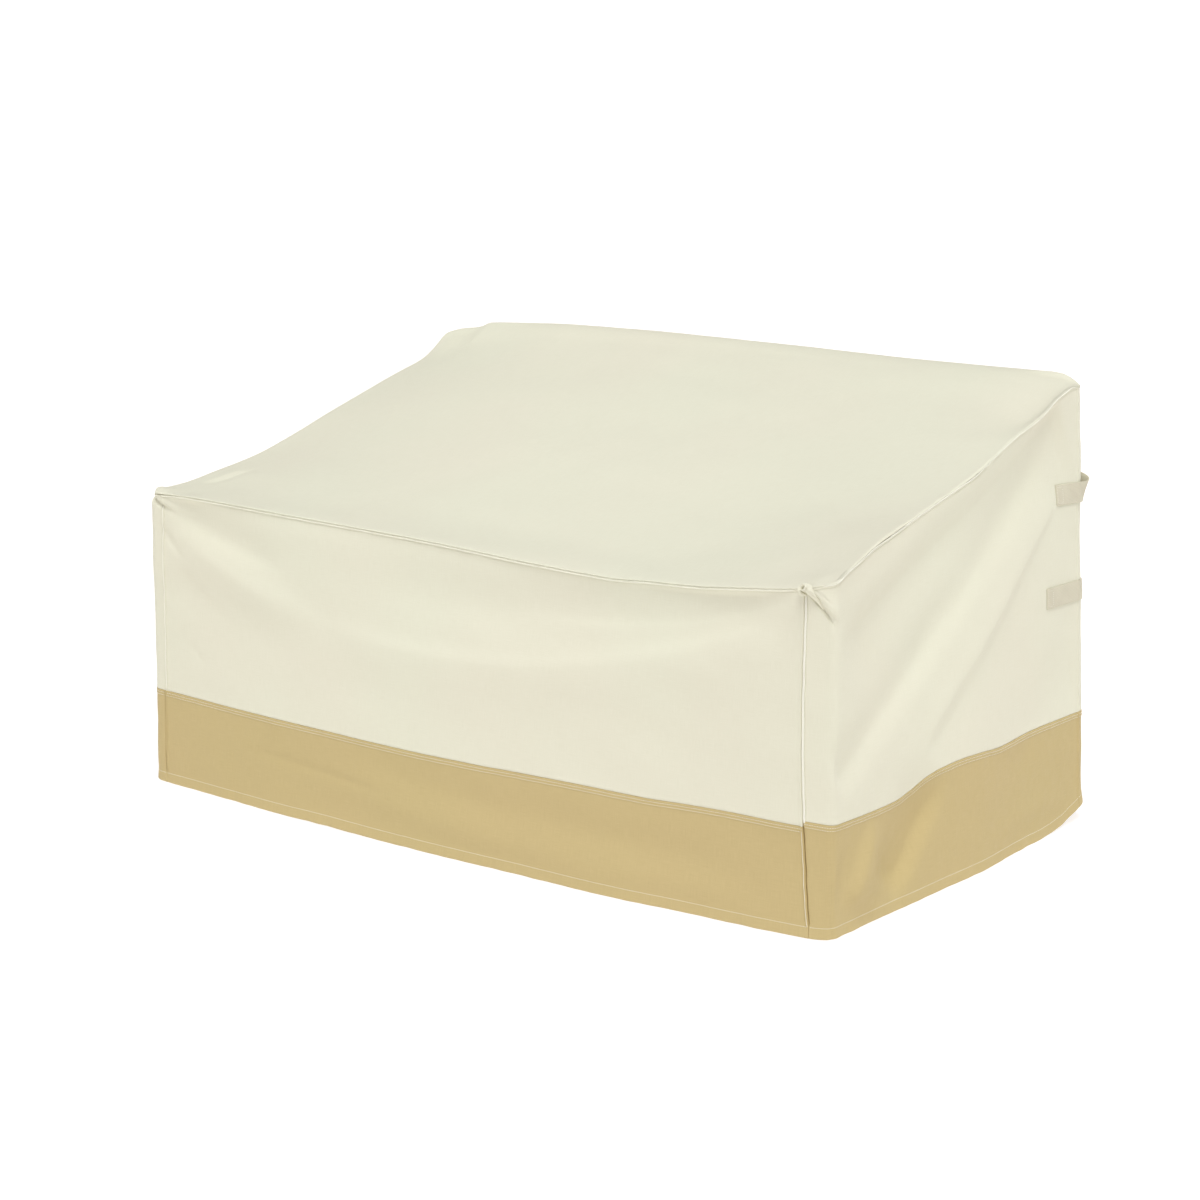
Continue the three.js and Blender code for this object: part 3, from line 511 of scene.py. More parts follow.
def top_points(p, q):
    """The top panel's outer face on a grid: p across from the left, q back."""
    p, q = np.asarray(p, float), np.asarray(q, float)
    front, back = seam_points(p)[None], seam_points(3 - p)[None]
    left, right = seam_points(4 - q)[:, None], seam_points(1 + q)[:, None]
    corner = seam_points(np.array([0.0, 1.0, 2.0, 3.0]))
    pp, qq = p[None, :, None], q[:, None, None]
    mixed = (1 - qq) * front + qq * back + (1 - pp) * left + pp * right
    mixed = mixed - (
        (1 - pp) * (1 - qq) * corner[0]
        + pp * (1 - qq) * corner[1]
        + pp * qq * corner[2]
        + (1 - pp) * qq * corner[3]
    )
    shares = np.linspace(0, 1, 5)
    heights = np.stack([cubic(TOP["depth"], TOP[name], q) for name in PROFILES], -1)
    field = cubic(shares, heights, p)
    first = np.array([TOP[name][0] for name in PROFILES])
    last = np.array([TOP[name][-1] for name in PROFILES])
    near, far = q[:, None] * SIDE_DEPTH, (1 - q[:, None]) * SIDE_DEPTH
    field = field + (front[..., 2] + 2.5 - cubic(shares, first, p)) * np.exp(-near / 90)
    crest = cubic(CREST["share"], CREST["z"], p) - cubic(shares, last, p)
    field = field + crest * np.exp(-far / 70)

    def turn(distance, reach):
        t = np.clip(distance / reach, 0, 1)
        return np.sqrt(1 - (1 - t) ** 2)

    x = p[None, :] * FRONT_LENGTH
    from_right = (1 - p[None, :]) * FRONT_LENGTH
    # toward the back the right edge is a flat slope down to the seam
    reach = np.interp(q, (0.0, 0.6, 0.8, 0.92, 1.0), (6.0, 7.0, 10.0, 26.0, ROLL["right"]))[:, None]
    slant = 0.6 * smooth((q - 0.8) / 0.15)[:, None]
    inside = (
        turn(near, ROLL["front"])
        * turn(far, ROLL["back"])
        * turn(x, ROLL["left"])
        * ((1 - slant) * turn(from_right, 0.9 * reach) + slant * np.clip(from_right / reach, 0, 1) ** 0.9)
    )
    edge = mixed[..., 2]
    point = np.concatenate([mixed[..., :2], (edge + (field - edge) * inside)[..., None]], -1)
    # the small folds, along the face's own normal
    shape = point.shape[:2]
    xs = np.broadcast_to(x, shape)
    ys = np.broadcast_to(near, shape)
    inward = np.minimum(np.minimum(xs, FRONT_LENGTH - xs), np.minimum(ys, SIDE_DEPTH - ys))
    h = fold_height(TOP_FOLDS, xs, ys, None) * np.clip((FRONT_LENGTH - xs) / 30, 0, 1)
    # the cloth puffed up at the left corner, and drawn in beside the right one
    for x0, y0, wide, deep, height in PUFFS:
        h += height * np.exp(-(((xs - x0) / wide) ** 2) - ((ys - y0) / deep) ** 2)
    h += cloth_noise(xs * 1.0 + 5000, ys) * smooth(inward / 60)
    h += 0.4 * ripple(PUCKER, xs, ys * 0.3) * np.exp(-ys / 16) * smooth(ys / 6)
    h += 0.4 * ripple(PUCKER, ys, xs * 0.3) * np.exp(-(FRONT_LENGTH - xs) / 20) * smooth((FRONT_LENGTH - xs) / 8)
    point = point + grid_normals(point) * h[..., None]
    # the front left corner is drawn in over the wall
    corner_in = 8.0 * np.exp(-((xs / 17) ** 2) - (ys / 15) ** 2)
    point = point + corner_in[..., None] * np.array([1.0, 0.5, 0.0])
    # the seam follows the creases of the walls below it
    for way, distance, other in ((p[None], ys, xs), (4 - q[:, None], xs, ys)):
        o = np.stack(plan(way, "top")[2:] + (np.zeros_like(way),), -1)
        drawn = fold_height(CREASES, along(way), walls(way, "seamZ"))
        share = np.exp(-distance / 12) * (1 - 0.5 * np.exp(-other / 12))
        point = point + o * (drawn * share)[..., None]
    # the rolled lip along the front seam stands proud of the wall
    out = np.stack(plan(p, "top")[2:] + (np.zeros_like(p),), -1)[None]
    clear = smooth((xs + ys - 6) / 36)
    lip = 1.3 + 0.5 * smooth((p - 0.28) / 0.12)
    point = point + out * (lip * ridge(ys, 3.0) * clear)[..., None]
    for way, distance, size in (
        (3 - p, SIDE_DEPTH - ys, 1.0),
    ):
        o = np.stack(plan(way, "top")[2:] + (np.zeros_like(p),), -1)[None]
        point = point + o * (size * ridge(distance, 7.0))[..., None]
    for way, distance, size in (
        (1 + q, FRONT_LENGTH - xs, 1.2),
        (4 - q, xs, 1.6 * clear),
    ):
        o = np.stack(plan(way, "top")[2:] + (np.zeros_like(q),), -1)[:, None]
        point = point + o * (size * ridge(distance, 3.6))[..., None]
    return point


# ------------------------------------------------------------------ meshes
def grid_normals(grid):
    across = np.gradient(grid, axis=1)
    up = np.gradient(grid, axis=0)
    return unit(np.cross(across, up))


def rolled(grid, uv, edge, inward, flange, steps=5):
    """Rolls one edge of a grid of points in, towards inward, and on into a seam allowance."""
    if edge in ("left", "right"):
        grid, uv = grid.transpose(1, 0, 2), uv.transpose(1, 0, 2)
        inward = inward.transpose(1, 0, 2) if inward.ndim == 3 else inward
    if edge in ("left", "bottom"):
        grid, uv = grid[::-1], uv[::-1]
    start, seam = grid[-2], grid[-1]
    toward = seam - start
    size = np.linalg.norm(toward, axis=-1, keepdims=True)
    toward = toward * (1 - SEAM_GAP / np.maximum(size, 1e-6))
    uv_way = uv[-1] - uv[-2]
    rows, uvs = [], []
    for k in range(1, steps + 1):
        a = math.pi / 2 * k / steps
        rows.append(start + toward * math.sin(a) + inward * size * (1 - math.cos(a)))
        uvs.append(uv[-2] + uv_way * (a / (math.pi / 2)) * 1.3)
    if flange:
        rows.append(rows[-1] + inward * flange)
        uvs.append(uvs[-1] + uv_way * 1.5)
    grid = np.concatenate([grid[:-1], np.stack(rows)])
    uv = np.concatenate([uv[:-1], np.stack(uvs)])
    if edge in ("left", "bottom"):
        grid, uv = grid[::-1], uv[::-1]
    if edge in ("left", "right"):
        grid, uv = grid.transpose(1, 0, 2), uv.transpose(1, 0, 2)
    return grid, uv


def mesh_object(name, points, faces, uvs, material, slots=None):
    """A smooth mesh from points in millimetres; faces are quads or triangles."""
    mesh = bpy.data.meshes.new(name)
    faces = np.asarray(faces)
    mesh.vertices.add(len(points))
    mesh.vertices.foreach_set("co", (np.asarray(points) / 1000.0).astype(np.float32).ravel())
    n = faces.shape[1]
    mesh.loops.add(faces.size)
    mesh.loops.foreach_set("vertex_index", faces.ravel().astype(np.int32))
    mesh.polygons.add(len(faces))
    mesh.polygons.foreach_set("loop_start", (np.arange(len(faces)) * n).astype(np.int32))
    mesh.polygons.foreach_set("loop_total", np.full(len(faces), n, np.int32))
    mesh.update(calc_edges=True)
    layer = mesh.uv_layers.new(name="cloth")
    layer.data.foreach_set("uv", (np.asarray(uvs)[faces.ravel()] / 1000.0).astype(np.float32).ravel())
    mesh.polygons.foreach_set("use_smooth", np.ones(len(faces), bool))
    mesh.validate()
    mesh.materials.append(material)
    obj = bpy.data.objects.new(name, mesh)
    bpy.context.scene.collection.objects.link(obj)
    return obj


def close_grid(outer, inner):
    """Quads of a closed sheet between an outer and an inner grid."""
    r, c = outer.shape[:2]
    index = np.arange(r * c).reshape(r, c)
    low = index + r * c

    def quads(a, b, d, e):
        return np.stack([a.ravel(), b.ravel(), d.ravel(), e.ravel()], -1)

    faces = [
        quads(index[:-1, :-1], index[:-1, 1:], index[1:, 1:], index[1:, :-1]),
        quads(low[:-1, :-1], low[1:, :-1], low[1:, 1:], low[:-1, 1:]),
        quads(index[0, :-1], low[0, :-1], low[0, 1:], index[0, 1:]),
        quads(index[-1, :-1], index[-1, 1:], low[-1, 1:], low[-1, :-1]),
        quads(index[:-1, 0], index[1:, 0], low[1:, 0], low[:-1, 0]),
        quads(index[:-1, -1], low[:-1, -1], low[1:, -1], index[1:, -1]),
    ]
    return np.concatenate([outer.reshape(-1, 3), inner.reshape(-1, 3)]), np.concatenate(faces)


def sheet_object(name, outer, uv, thickness, material, extra=()):
    inner = outer - grid_normals(outer) * thickness
    points, faces = close_grid(outer, inner)
    uvs = np.concatenate([uv.reshape(-1, 2), uv.reshape(-1, 2)])
    for more_points, more_faces, more_uvs in extra:
        faces = np.concatenate([faces, more_faces + len(points)])
        points = np.concatenate([points, more_points])
        uvs = np.concatenate([uvs, more_uvs])
    return mesh_object(name, points, faces, uvs, material)


# The knot of gathered cloth at the right front corner: a roll that opens at the
# seam and dies away down the corner, and a small bead of cloth beside its mouth.
ROLL_END = table(
    "x y z radius",
    (698.9, -430.2, 574.2, 6.0),
    (700.4, -424.6, 573.0, 7.2),
    (705.8, -420.8, 569.4, 7.2),
    (713.0, -417.6, 561.8, 5.6),
    (720.4, -413.6, 551.6, 4.2),
    (727.6, -410.2, 539.6, 2.6),
)
BEAD = table(
    "x y z radius",
    (685.6, -420.2, 571.6, 1.6),
    (688.0, -422.6, 566.4, 3.0),
    (692.6, -423.0, 562.4, 3.0),
    (698.9, -419.3, 559.4, 1.8),
)


def gathered(rows, mouth, creased, around=40, rings=34):
    """A closed roll of cloth through the rows, creased lengthwise, with a slot-like mouth."""
    keys = np.arange(len(rows["x"]), dtype=float)
    t = np.linspace(0, keys[-1], rings)
    centre = np.stack([cubic(keys, rows[name], t) for name in "xyz"], -1)
    radius = cubic(keys, rows["radius"], t)
    ahead = unit(np.gradient(centre, axis=0))
    side = unit(np.cross(ahead, np.array([0.0, -1.0, 0.0])))
    out = np.cross(side, ahead)
    angle = 2 * math.pi * np.arange(around) / around
    made = []

    def ring(k, size, shift, squash=1.0):
        wave = 1 + creased * (np.cos(5 * angle + 0.9 * t[k]) * 0.6 + np.cos(8 * angle - 1.4 * t[k]) * 0.4)
        r = radius[k] * size * wave
        made.append(
            centre[k] + ahead[k] * shift
            + side[k] * (np.cos(angle) * r)[:, None] + out[k] * (np.sin(angle) * r * squash)[:, None]
        )

    if mouth:
        for size, shift, squash in ((0.8, 9.0, 0.2), (0.8, 5.0, 0.22), (0.8, 1.6, 0.3), (0.84, -0.4, 0.6), (0.93, -0.9, 0.92)):
            ring(0, size, shift, squash)
    else:
        ring(0, 0.45, -0.8)
        ring(0, 0.8, -0.5)
    for k in range(rings):
        ring(k, 1.0, 0.0)
    ring(rings - 1, 0.6, 1.0)
    grid = np.stack(made)
    n = len(grid)
    index = np.arange(n * around).reshape(n, around)
    ahead_index = np.roll(index, -1, axis=1)
    faces = [np.stack([index[:-1].ravel(), index[1:].ravel(), ahead_index[1:].ravel(), ahead_index[:-1].ravel()], -1)]
    half = np.arange(around // 2 - 1)
    faces.append(np.stack([index[0, half], index[0, half + 1], index[0, around - 2 - half], index[0, around - 1 - half]], -1))
    faces.append(np.stack([index[-1, around - 1 - half], index[-1, around - 2 - half], index[-1, half + 1], index[-1, half]], -1))
    run = np.arange(n)[:, None] * 1.5 + 0 * angle
    uvs = np.stack([run + 1460, 560 + 5.5 * np.sin(angle)[None] + 0 * run], -1)
    return grid.reshape(-1, 3), np.concatenate(faces), uvs.reshape(-1, 2)


NEAR = (0.0, 1.5, 2.0, 2.5, 3.1, 3.8, 4.6, 5.4, 7.0, 9.0, 11.5, 14.5, 18.0)


def spaced(length, step, near=NEAR, zones=()):
    """Distances from 0 to length: close together at both ends and in zones."""
    ends = np.array(near)
    middle = length - 2 * ends[-1]
    count = max(2, int(round(middle / step)))
    plain = ends[-1] + middle * np.arange(1, count) / count
    extra = [np.arange(a, b, gap) for a, b, gap in zones]
    for a, b, _ in zones:
        plain = plain[(plain < a - 0.5) | (plain > b)]
    return np.sort(np.concatenate([ends, plain, length - ends] + extra))


def u_at(s):
    """The place u on the walls for millimetres along them."""
    stops = np.cumsum([0, FRONT_LENGTH, SIDE_DEPTH, FRONT_LENGTH, SIDE_DEPTH])
    turns = np.floor(s / LOOP)
    return 4 * turns + np.interp(s - turns * LOOP, stops, np.arange(5))


COARSE = 1.0


def wall_grid(piece):
    s0, s1 = (float(along(np.array([x]))[0]) for x in (piece["from"], piece["to"]))
    zones = [(a - s0, b - s0, gap) for a, b, gap in piece["zones"]]
    s = s0 + spaced(s1 - s0, piece["step"] * COARSE, zones=zones)
    u = u_at(s)
    u[0], u[-1] = piece["from"], piece["to"]
    band = band_height(u, piece["on_right"])
    if piece["kind"] == "panel":
        low, high = band, walls(u, "seamZ")
    else:
        low, high = walls(u, "hemZ"), band
    mean = float(np.mean(high - low))
    if piece["kind"] == "panel":
        fine = [(mean - 18 - piece["fine"], mean - 19, 1.7)] if piece["fine"] else ()
        rows = spaced(mean, piece["rise"] * COARSE, NEAR, fine)
        rows[1] = 0.5  # its lower edge lies flat on the band
    else:
        near_low = np.array((0.0, 3.0, 4.5, 6.5, 9.5, 13.0, 16.0, 17.6, 18.4, 19.2, 20.2, 21.4, 23.5, 27.0))
        near_high = np.array((0.0, 0.8, 1.6, 2.5, 3.4, 4.0, 4.8, 5.8, 7.2, 8.4, 9.2, 10.0, 11.2, 12.8, 15.0, 18.0))
        count = int((mean - 45) / (piece["rise"] * COARSE))
        middle = 27 + (mean - 45) * np.arange(1, count) / count
        rows = np.concatenate([near_low, middle, mean - near_high[::-1]])
    edge = 18.0 if piece["kind"] == "panel" else 27.0
    t = rows[:, None]
    scaled = edge + (t - edge) * ((high - low)[None] - edge - 18) / (mean - edge - 18)
    z = np.where(t <= edge, t, np.where(t >= mean - 18, (high - low)[None] - (mean - t), scaled))
    z = z + low[None]
    return np.broadcast_to(u[None], z.shape), z


def build_wall(piece, material):
    u, z = wall_grid(piece)
    outer = wall_points(piece, u, z)
    uv = np.stack([along(u), z], -1)
    _, out = wall_base(u, z)
    thick_at = None
    if piece["kind"] == "band":
        above = z - walls(u, "hemZ")
        thick_at = CLOTH + (HEM - CLOTH) * smooth((HEM_HEIGHT + 1.0 - above) / 1.5)
        outer, uv = rolled(outer, uv, "bottom", -out[0], 0.0, steps=6)
    else:
        outer, uv = rolled(outer, uv, "bottom", -out[0], 6.0)
        thick_at = np.full(z.shape, CLOTH)
    low_rows = outer.shape[0] - z.shape[0]
    outer, uv = rolled(outer, uv, "top", -out[-1], 6.0)
    high_rows = outer.shape[0] - z.shape[0] - low_rows
    thick_at = np.concatenate(
        [np.repeat(thick_at[:1], low_rows, 0), thick_at, np.repeat(thick_at[-1:], high_rows, 0)]
    )
    for edge, k in (("left", 0), ("right", -1)):
        way = np.broadcast_to(-out[:1, k], (outer.shape[0], 3))
        before = outer.shape[1]
        outer, uv = rolled(outer, uv, edge, way, 6.0)
        more = outer.shape[1] - before
        column = thick_at[:, :1] if edge == "left" else thick_at[:, -1:]
        extra = np.repeat(column, more, 1)
        thick_at = np.concatenate([extra, thick_at] if edge == "left" else [thick_at, extra], 1)
    extra = ()
    if piece["node"] == "right_panel":
        extra = (gathered(ROLL_END, True, 0.11), gathered(BEAD, False, 0.06, 20, 12))
    return sheet_object(piece["name"], outer, uv, thick_at[..., None], material, extra)


def build_top(material):
    near = (0.0, 1.3, 1.7, 2.1, 2.2, 3.0, 3.9, 4.9, 6.2, 8.2, 10.5, 13.5, 17.0, 21.0, 26.0, 32.0)
    p = spaced(FRONT_LENGTH, 7.5 * COARSE, near) / FRONT_LENGTH
    q = spaced(SIDE_DEPTH, 6.5 * COARSE, near) / SIDE_DEPTH
    outer = top_points(p, q)
    uv = np.stack(np.broadcast_arrays(p[None] * FRONT_LENGTH, q[:, None] * SIDE_DEPTH), -1)
    zero = np.zeros_like(p)
    front = -np.stack(plan(p, "top")[2:] + (zero,), -1)
    back = -np.stack(plan(3 - p, "top")[2:] + (zero,), -1)
    outer, uv = rolled(outer, uv, "bottom", front, 6.0)
    outer, uv = rolled(outer, uv, "top", back, 6.0)
    extra = outer.shape[0] - len(q)
    qs = np.concatenate([np.zeros(extra // 2), q, np.ones(extra - extra // 2)])
    zero = np.zeros_like(qs)
    left = -np.stack(plan(4 - qs, "top")[2:] + (zero,), -1)
    right = -np.stack(plan(1 + qs, "top")[2:] + (zero,), -1)
    outer, uv = rolled(outer, uv, "left", left, 6.0)
    outer, uv = rolled(outer, uv, "right", right, 6.0)
    return sheet_object("top_cloth", outer, uv, CLOTH, material)


# ---------------------------------------------------------------- stitches
def stitch_line(points, normals, length=3.3, gap=1.0, radius=0.42, lift=0.12):
    """Small bars of thread along a line on the cloth, each dipping in at its ends."""
    steps = np.linalg.norm(np.diff(points, axis=0), axis=-1)
    run = np.concatenate([[0], np.cumsum(steps)])
    pitch = length + gap
    count = int((run[-1] - gap) / pitch)
    if count < 1:
        return np.zeros((0, 3)), np.zeros((0, 4), int)
    starts = (run[-1] - count * pitch) / 2 + gap / 2 + pitch * np.arange(count)

    def at(x, values):
        return np.stack([np.interp(x, run, values[:, k]) for k in range(3)], -1)

    rings = []
    for share, size, rise in ((0.0, 0.5, -0.4), (0.22, 1.0, lift), (0.78, 1.0, lift), (1.0, 0.5, -0.4)):
        x = starts + share * length
        centre = at(x, points)
        n = unit(at(x, normals))
        ahead = unit(at(np.minimum(x + 1.0, run[-1]), points) - at(np.maximum(x - 1.0, 0), points))
        across = unit(np.cross(ahead, n))
        centre = centre + n * rise
        ring = [
            centre + radius * size * (across * a + n * b)
            for a, b in ((1, 0), (0, 1), (-1, 0), (0, -1))
        ]
        rings.append(np.stack(ring, 1))
    grid = np.stack(rings, 1)  # stitch, ring, corner, xyz
    base = (np.arange(count) * 16)[:, None]
    faces = []
    for r in range(3):
        for c in range(4):
            d = (c + 1) % 4
            faces.append(base + np.array([[r * 4 + c, r * 4 + d, r * 4 + 4 + d, r * 4 + 4 + c]]))
    faces.append(base + np.array([[3, 2, 1, 0]]))
    faces.append(base + np.array([[12, 13, 14, 15]]))
    return grid.reshape(-1, 3), np.concatenate(faces)


def stitches_object(name, lines, material):
    points, faces, total = [], [], 0
    for line in lines:
        p, f = line
        if not len(p):
            continue
        points.append(p)
        faces.append(f + total)
        total += len(p)
    points = np.concatenate(points)
    uvs = np.stack([points[:, 0] + points[:, 1], points[:, 2]], -1)
    return mesh_object(name, points, np.concatenate(faces), uvs, material)


def seam_cord_painted_highlight(name, lines, material):
    """A thin raised cord along a seam, one for each line; its pale thread colour, lighter than the cloth, is a painted
    highlight on the seam's ridge.
    """
    angle = 2 * math.pi * np.arange(8) / 8
    parts, faces, total = [], [], 0
    for points, out, radius, flat in lines:
        ahead = unit(np.gradient(points, axis=0))
        side = unit(np.cross(ahead, out))
        front = np.cross(side, ahead)
        size = np.broadcast_to(radius, (len(points),))[:, None, None]
        wheel = side[:, None] * np.cos(angle)[None, :, None] + front[:, None] * (flat * np.sin(angle))[None, :, None]
        grid = points[:, None] + wheel * size
        n = len(points)
        index = np.arange(n * 8).reshape(n, 8) + total
        turned = np.roll(index, -1, axis=1)
        faces.append(np.stack([index[:-1].ravel(), turned[:-1].ravel(), turned[1:].ravel(), index[1:].ravel()], -1))
        for row in (index[0], index[-1][::-1]):
            faces.append(np.array([[row[3], row[2], row[1], row[0]], [row[4], row[3], row[0], row[7]], [row[5], row[4], row[7], row[6]]]))
        parts.append(grid.reshape(-1, 3))
        total += n * 8
    points = np.concatenate(parts)
    uvs = np.stack([points[:, 0] + points[:, 1], points[:, 2]], -1)
    return mesh_object(name, points, np.concatenate(faces), uvs, material)


def along_top(start, end, proud, drop, radius):
    """A cord along the top seam, from u start to end, drop below it."""
    u = np.linspace(start, end, int((end - start) * 620))
    z = walls(u, "seamZ") - drop
    point, out = wall_base(u, z)
    taper = smooth(np.minimum(np.arange(len(u)), len(u) - 1 - np.arange(len(u))) / 8)
    noise = 0.25 * ripple(PUCKER, along(u), 0 * u)
    drawn = fold_height(CREASES, along(u), z)
    return point + out * (proud * taper + noise + drawn)[:, None], out, radius * (0.35 + 0.65 * taper), 1.0


def up_seam(piece, u0, shift, low, high, proud, radius):
    """A cord up an upright seam, shift millimetres along from it."""
    z = np.arange(low, high, 3.0)
    u = u_at(along(np.array([u0]))[0] + shift + 0 * z)
    point = wall_points(piece, u, z)
    out = wall_base(u, z)[1]
    taper = smooth(np.minimum(z - low, high - z) / 8)
    return point + out * (proud * taper)[:, None], out, radius * (0.4 + 0.6 * taper), 0.45


def band_stitches(piece):
    s0, s1 = (float(along(np.array([x]))[0]) for x in (piece["from"], piece["to"]))
    lines = []
    for kind, offset in (("band", 4.4), ("band", 9.2), ("hem", HEM_HEIGHT - 1.2)):
        clear = 1.2 if kind == "band" else 0.6
        s = np.linspace(s0 + clear, s1 - clear, int((s1 - s0) / 3))
        u = u_at(s)
        if kind == "band":
            z = band_height(u, piece["on_right"]) - offset
        else:
            z = walls(u, "hemZ") + offset
        lines.append(stitch_line(wall_points(piece, u, z), wall_normals(piece, u, z)))
    return lines


# ------------------------------------------------------------------ straps
STRAPS = table(
    "low width across behind proud rise slack",
    (590, 37, 111, 70, 17, -13.0, 24),
    (412, 37, 152, 70, 0, -8.5, 0),
)
STRAP_NAMES = ("upper", "lower")
WEBBING = 1.7


# --------------------------------------------------------------- materials
class Nodes:
    """A short way to write one node material."""

    def __init__(self, name):
        self.material = bpy.data.materials.new(name)
        self.material.use_nodes = True
        self.tree = self.material.node_tree
        self.tree.nodes.clear()
        self.out = self.add("ShaderNodeOutputMaterial")
        self.shader = self.add("ShaderNodeBsdfPrincipled")
        self.link(self.shader, "BSDF", self.out, "Surface")

    def add(self, kind, **settings):
        node = self.tree.nodes.new(kind)
        for key, value in settings.items():
            setattr(node, key, value)
        return node

    def link(self, a, output, b, socket):
        self.tree.links.new(a.outputs[output], b.inputs[socket])

    def math(self, operation, a, b=None):
        node = self.add("ShaderNodeMath", operation=operation)
        for k, value in enumerate((a, b)):
            if value is None:
                continue
            if isinstance(value, (int, float)):
                node.inputs[k].default_value = value
            else:
                self.tree.links.new(value, node.inputs[k])
        return node.outputs[0]

    def noise(self, vector, scale, detail=3.0, roughness=0.5):
        node = self.add("ShaderNodeTexNoise")
        node.inputs["Scale"].default_value = scale
        node.inputs["Detail"].default_value = detail
        node.inputs["Roughness"].default_value = roughness
        self.tree.links.new(vector, node.inputs["Vector"])
        return node.outputs["Fac"]

    def mix(self, factor, a, b):
        node = self.add("ShaderNodeMix", data_type="RGBA")
        self.tree.links.new(factor, node.inputs["Factor"])
        for socket, value in ((6, a), (7, b)):
            if isinstance(value, tuple):
                node.inputs[socket].default_value = (*value, 1)
            else:
                self.tree.links.new(value, node.inputs[socket])
        return node.outputs[2]

    def range(self, value, low, high, to_low, to_high):
        node = self.add("ShaderNodeMapRange")
        self.tree.links.new(value, node.inputs["Value"])
        for name, x in zip(("From Min", "From Max", "To Min", "To Max"), (low, high, to_low, to_high)):
            node.inputs[name].default_value = x
        return node.outputs["Result"]

    def bump(self, height, strength, distance, normal=None):
        node = self.add("ShaderNodeBump")
        node.inputs["Strength"].default_value = strength
        node.inputs["Distance"].default_value = distance
        self.tree.links.new(height, node.inputs["Height"])
        if normal is not None:
            self.tree.links.new(normal, node.inputs["Normal"])
        return node.outputs["Normal"]


def cloth_material(name, colour, deeper, warmer, roughness, sheen, thread=0.00055):
    """Coated plain-weave cloth: a fine weave, a soft coat, and a little crinkle."""
    m = Nodes(name)
    uv = m.add("ShaderNodeUVMap", uv_map="cloth")
    place = m.add("ShaderNodeTexCoord").outputs["Object"]
    split = m.add("ShaderNodeSeparateXYZ")
    m.link(uv, "UV", split, 0)
    # the weave: threads over and under, one bump for each crossing
    x = m.math("MULTIPLY", split.outputs["X"], math.pi / thread)
    y = m.math("MULTIPLY", split.outputs["Y"], math.pi / thread)
    weave = m.math("MULTIPLY", m.math("SINE", x), m.math("SINE", y))
    # uneven yarns, long along each thread
    slub = m.add("ShaderNodeMapping")
    slub.inputs["Scale"].default_value = (40, 900, 1)
    m.link(uv, "UV", slub, "Vector")
    slub2 = m.add("ShaderNodeMapping")
    slub2.inputs["Scale"].default_value = (900, 40, 1)
    m.link(uv, "UV", slub2, "Vector")
    yarn = m.math("ADD", m.noise(slub.outputs[0], 1.0, 0.0), m.noise(slub2.outputs[0], 1.0, 0.0))
    cloudy = m.noise(place, 2.6, 1.0, 0.55)
    crinkle = m.noise(place, 60.0, 3.0, 0.65)
    tint = m.mix(m.range(cloudy, 0.35, 0.65, 0.0, 1.0), colour, warmer)
    tint = m.mix(m.range(yarn, 0.6, 1.4, 0.0, 0.3), tint, deeper)
    tint = m.mix(m.range(weave, -1.0, 1.0, 0.22, 0.0), tint, deeper)
    m.tree.links.new(tint, m.shader.inputs["Base Color"])
    rough = m.range(crinkle, 0.3, 0.7, roughness - 0.05, roughness + 0.06)
    m.tree.links.new(rough, m.shader.inputs["Roughness"])
    m.shader.inputs["Specular IOR Level"].default_value = 0.26
    m.shader.inputs["Sheen Weight"].default_value = sheen
    m.shader.inputs["Sheen Roughness"].default_value = 0.5
    m.shader.inputs["Sheen Tint"].default_value = (1.0, 0.98, 0.92, 1)
    # all the relief as one height, in metres
    height = m.math("MULTIPLY", crinkle, 0.00032)
    height = m.math("ADD", height, m.math("MULTIPLY", yarn, 0.00006))
    height = m.math("ADD", height, m.math("MULTIPLY", weave, 0.00004))
    m.tree.links.new(m.bump(height, 1.0, 1.0), m.shader.inputs["Normal"])
    return m.material


def webbing_material(name, colour, deeper):
    """Flat woven webbing: close ribs along it, crossed by fine weft."""
    m = Nodes(name)
    uv = m.add("ShaderNodeUVMap", uv_map="cloth")
    place = m.add("ShaderNodeTexCoord").outputs["Object"]
    split = m.add("ShaderNodeSeparateXYZ")
    m.link(uv, "UV", split, 0)
    x = m.math("MULTIPLY", split.outputs["X"], math.pi / 0.0011)
    y = m.math("MULTIPLY", split.outputs["Y"], math.pi / 0.0013)
    twill = m.math("SINE", m.math("ADD", x, y))
    rib = m.math("SINE", m.math("MULTIPLY", split.outputs["Y"], 2 * math.pi / 0.0026))
    height = m.math("ADD", twill, rib)
    fuzz = m.noise(place, 900.0, 2.0)
    cloudy = m.noise(place, 30.0, 3.0)
    tint = m.mix(m.range(height, -2.0, 2.0, 0.7, 0.0), colour, deeper)
    tint = m.mix(m.range(cloudy, 0.35, 0.65, 0.0, 0.35), tint, deeper)
    m.tree.links.new(tint, m.shader.inputs["Base Color"])
    m.tree.links.new(m.range(fuzz, 0.3, 0.7, 0.75, 0.9), m.shader.inputs["Roughness"])
    m.shader.inputs["Specular IOR Level"].default_value = 0.25
    m.shader.inputs["Sheen Weight"].default_value = 0.2
    n = m.bump(fuzz, 0.3, 0.0002)
    n = m.bump(height, 0.6, 0.0003, n)
    m.tree.links.new(n, m.shader.inputs["Normal"])
    return m.material


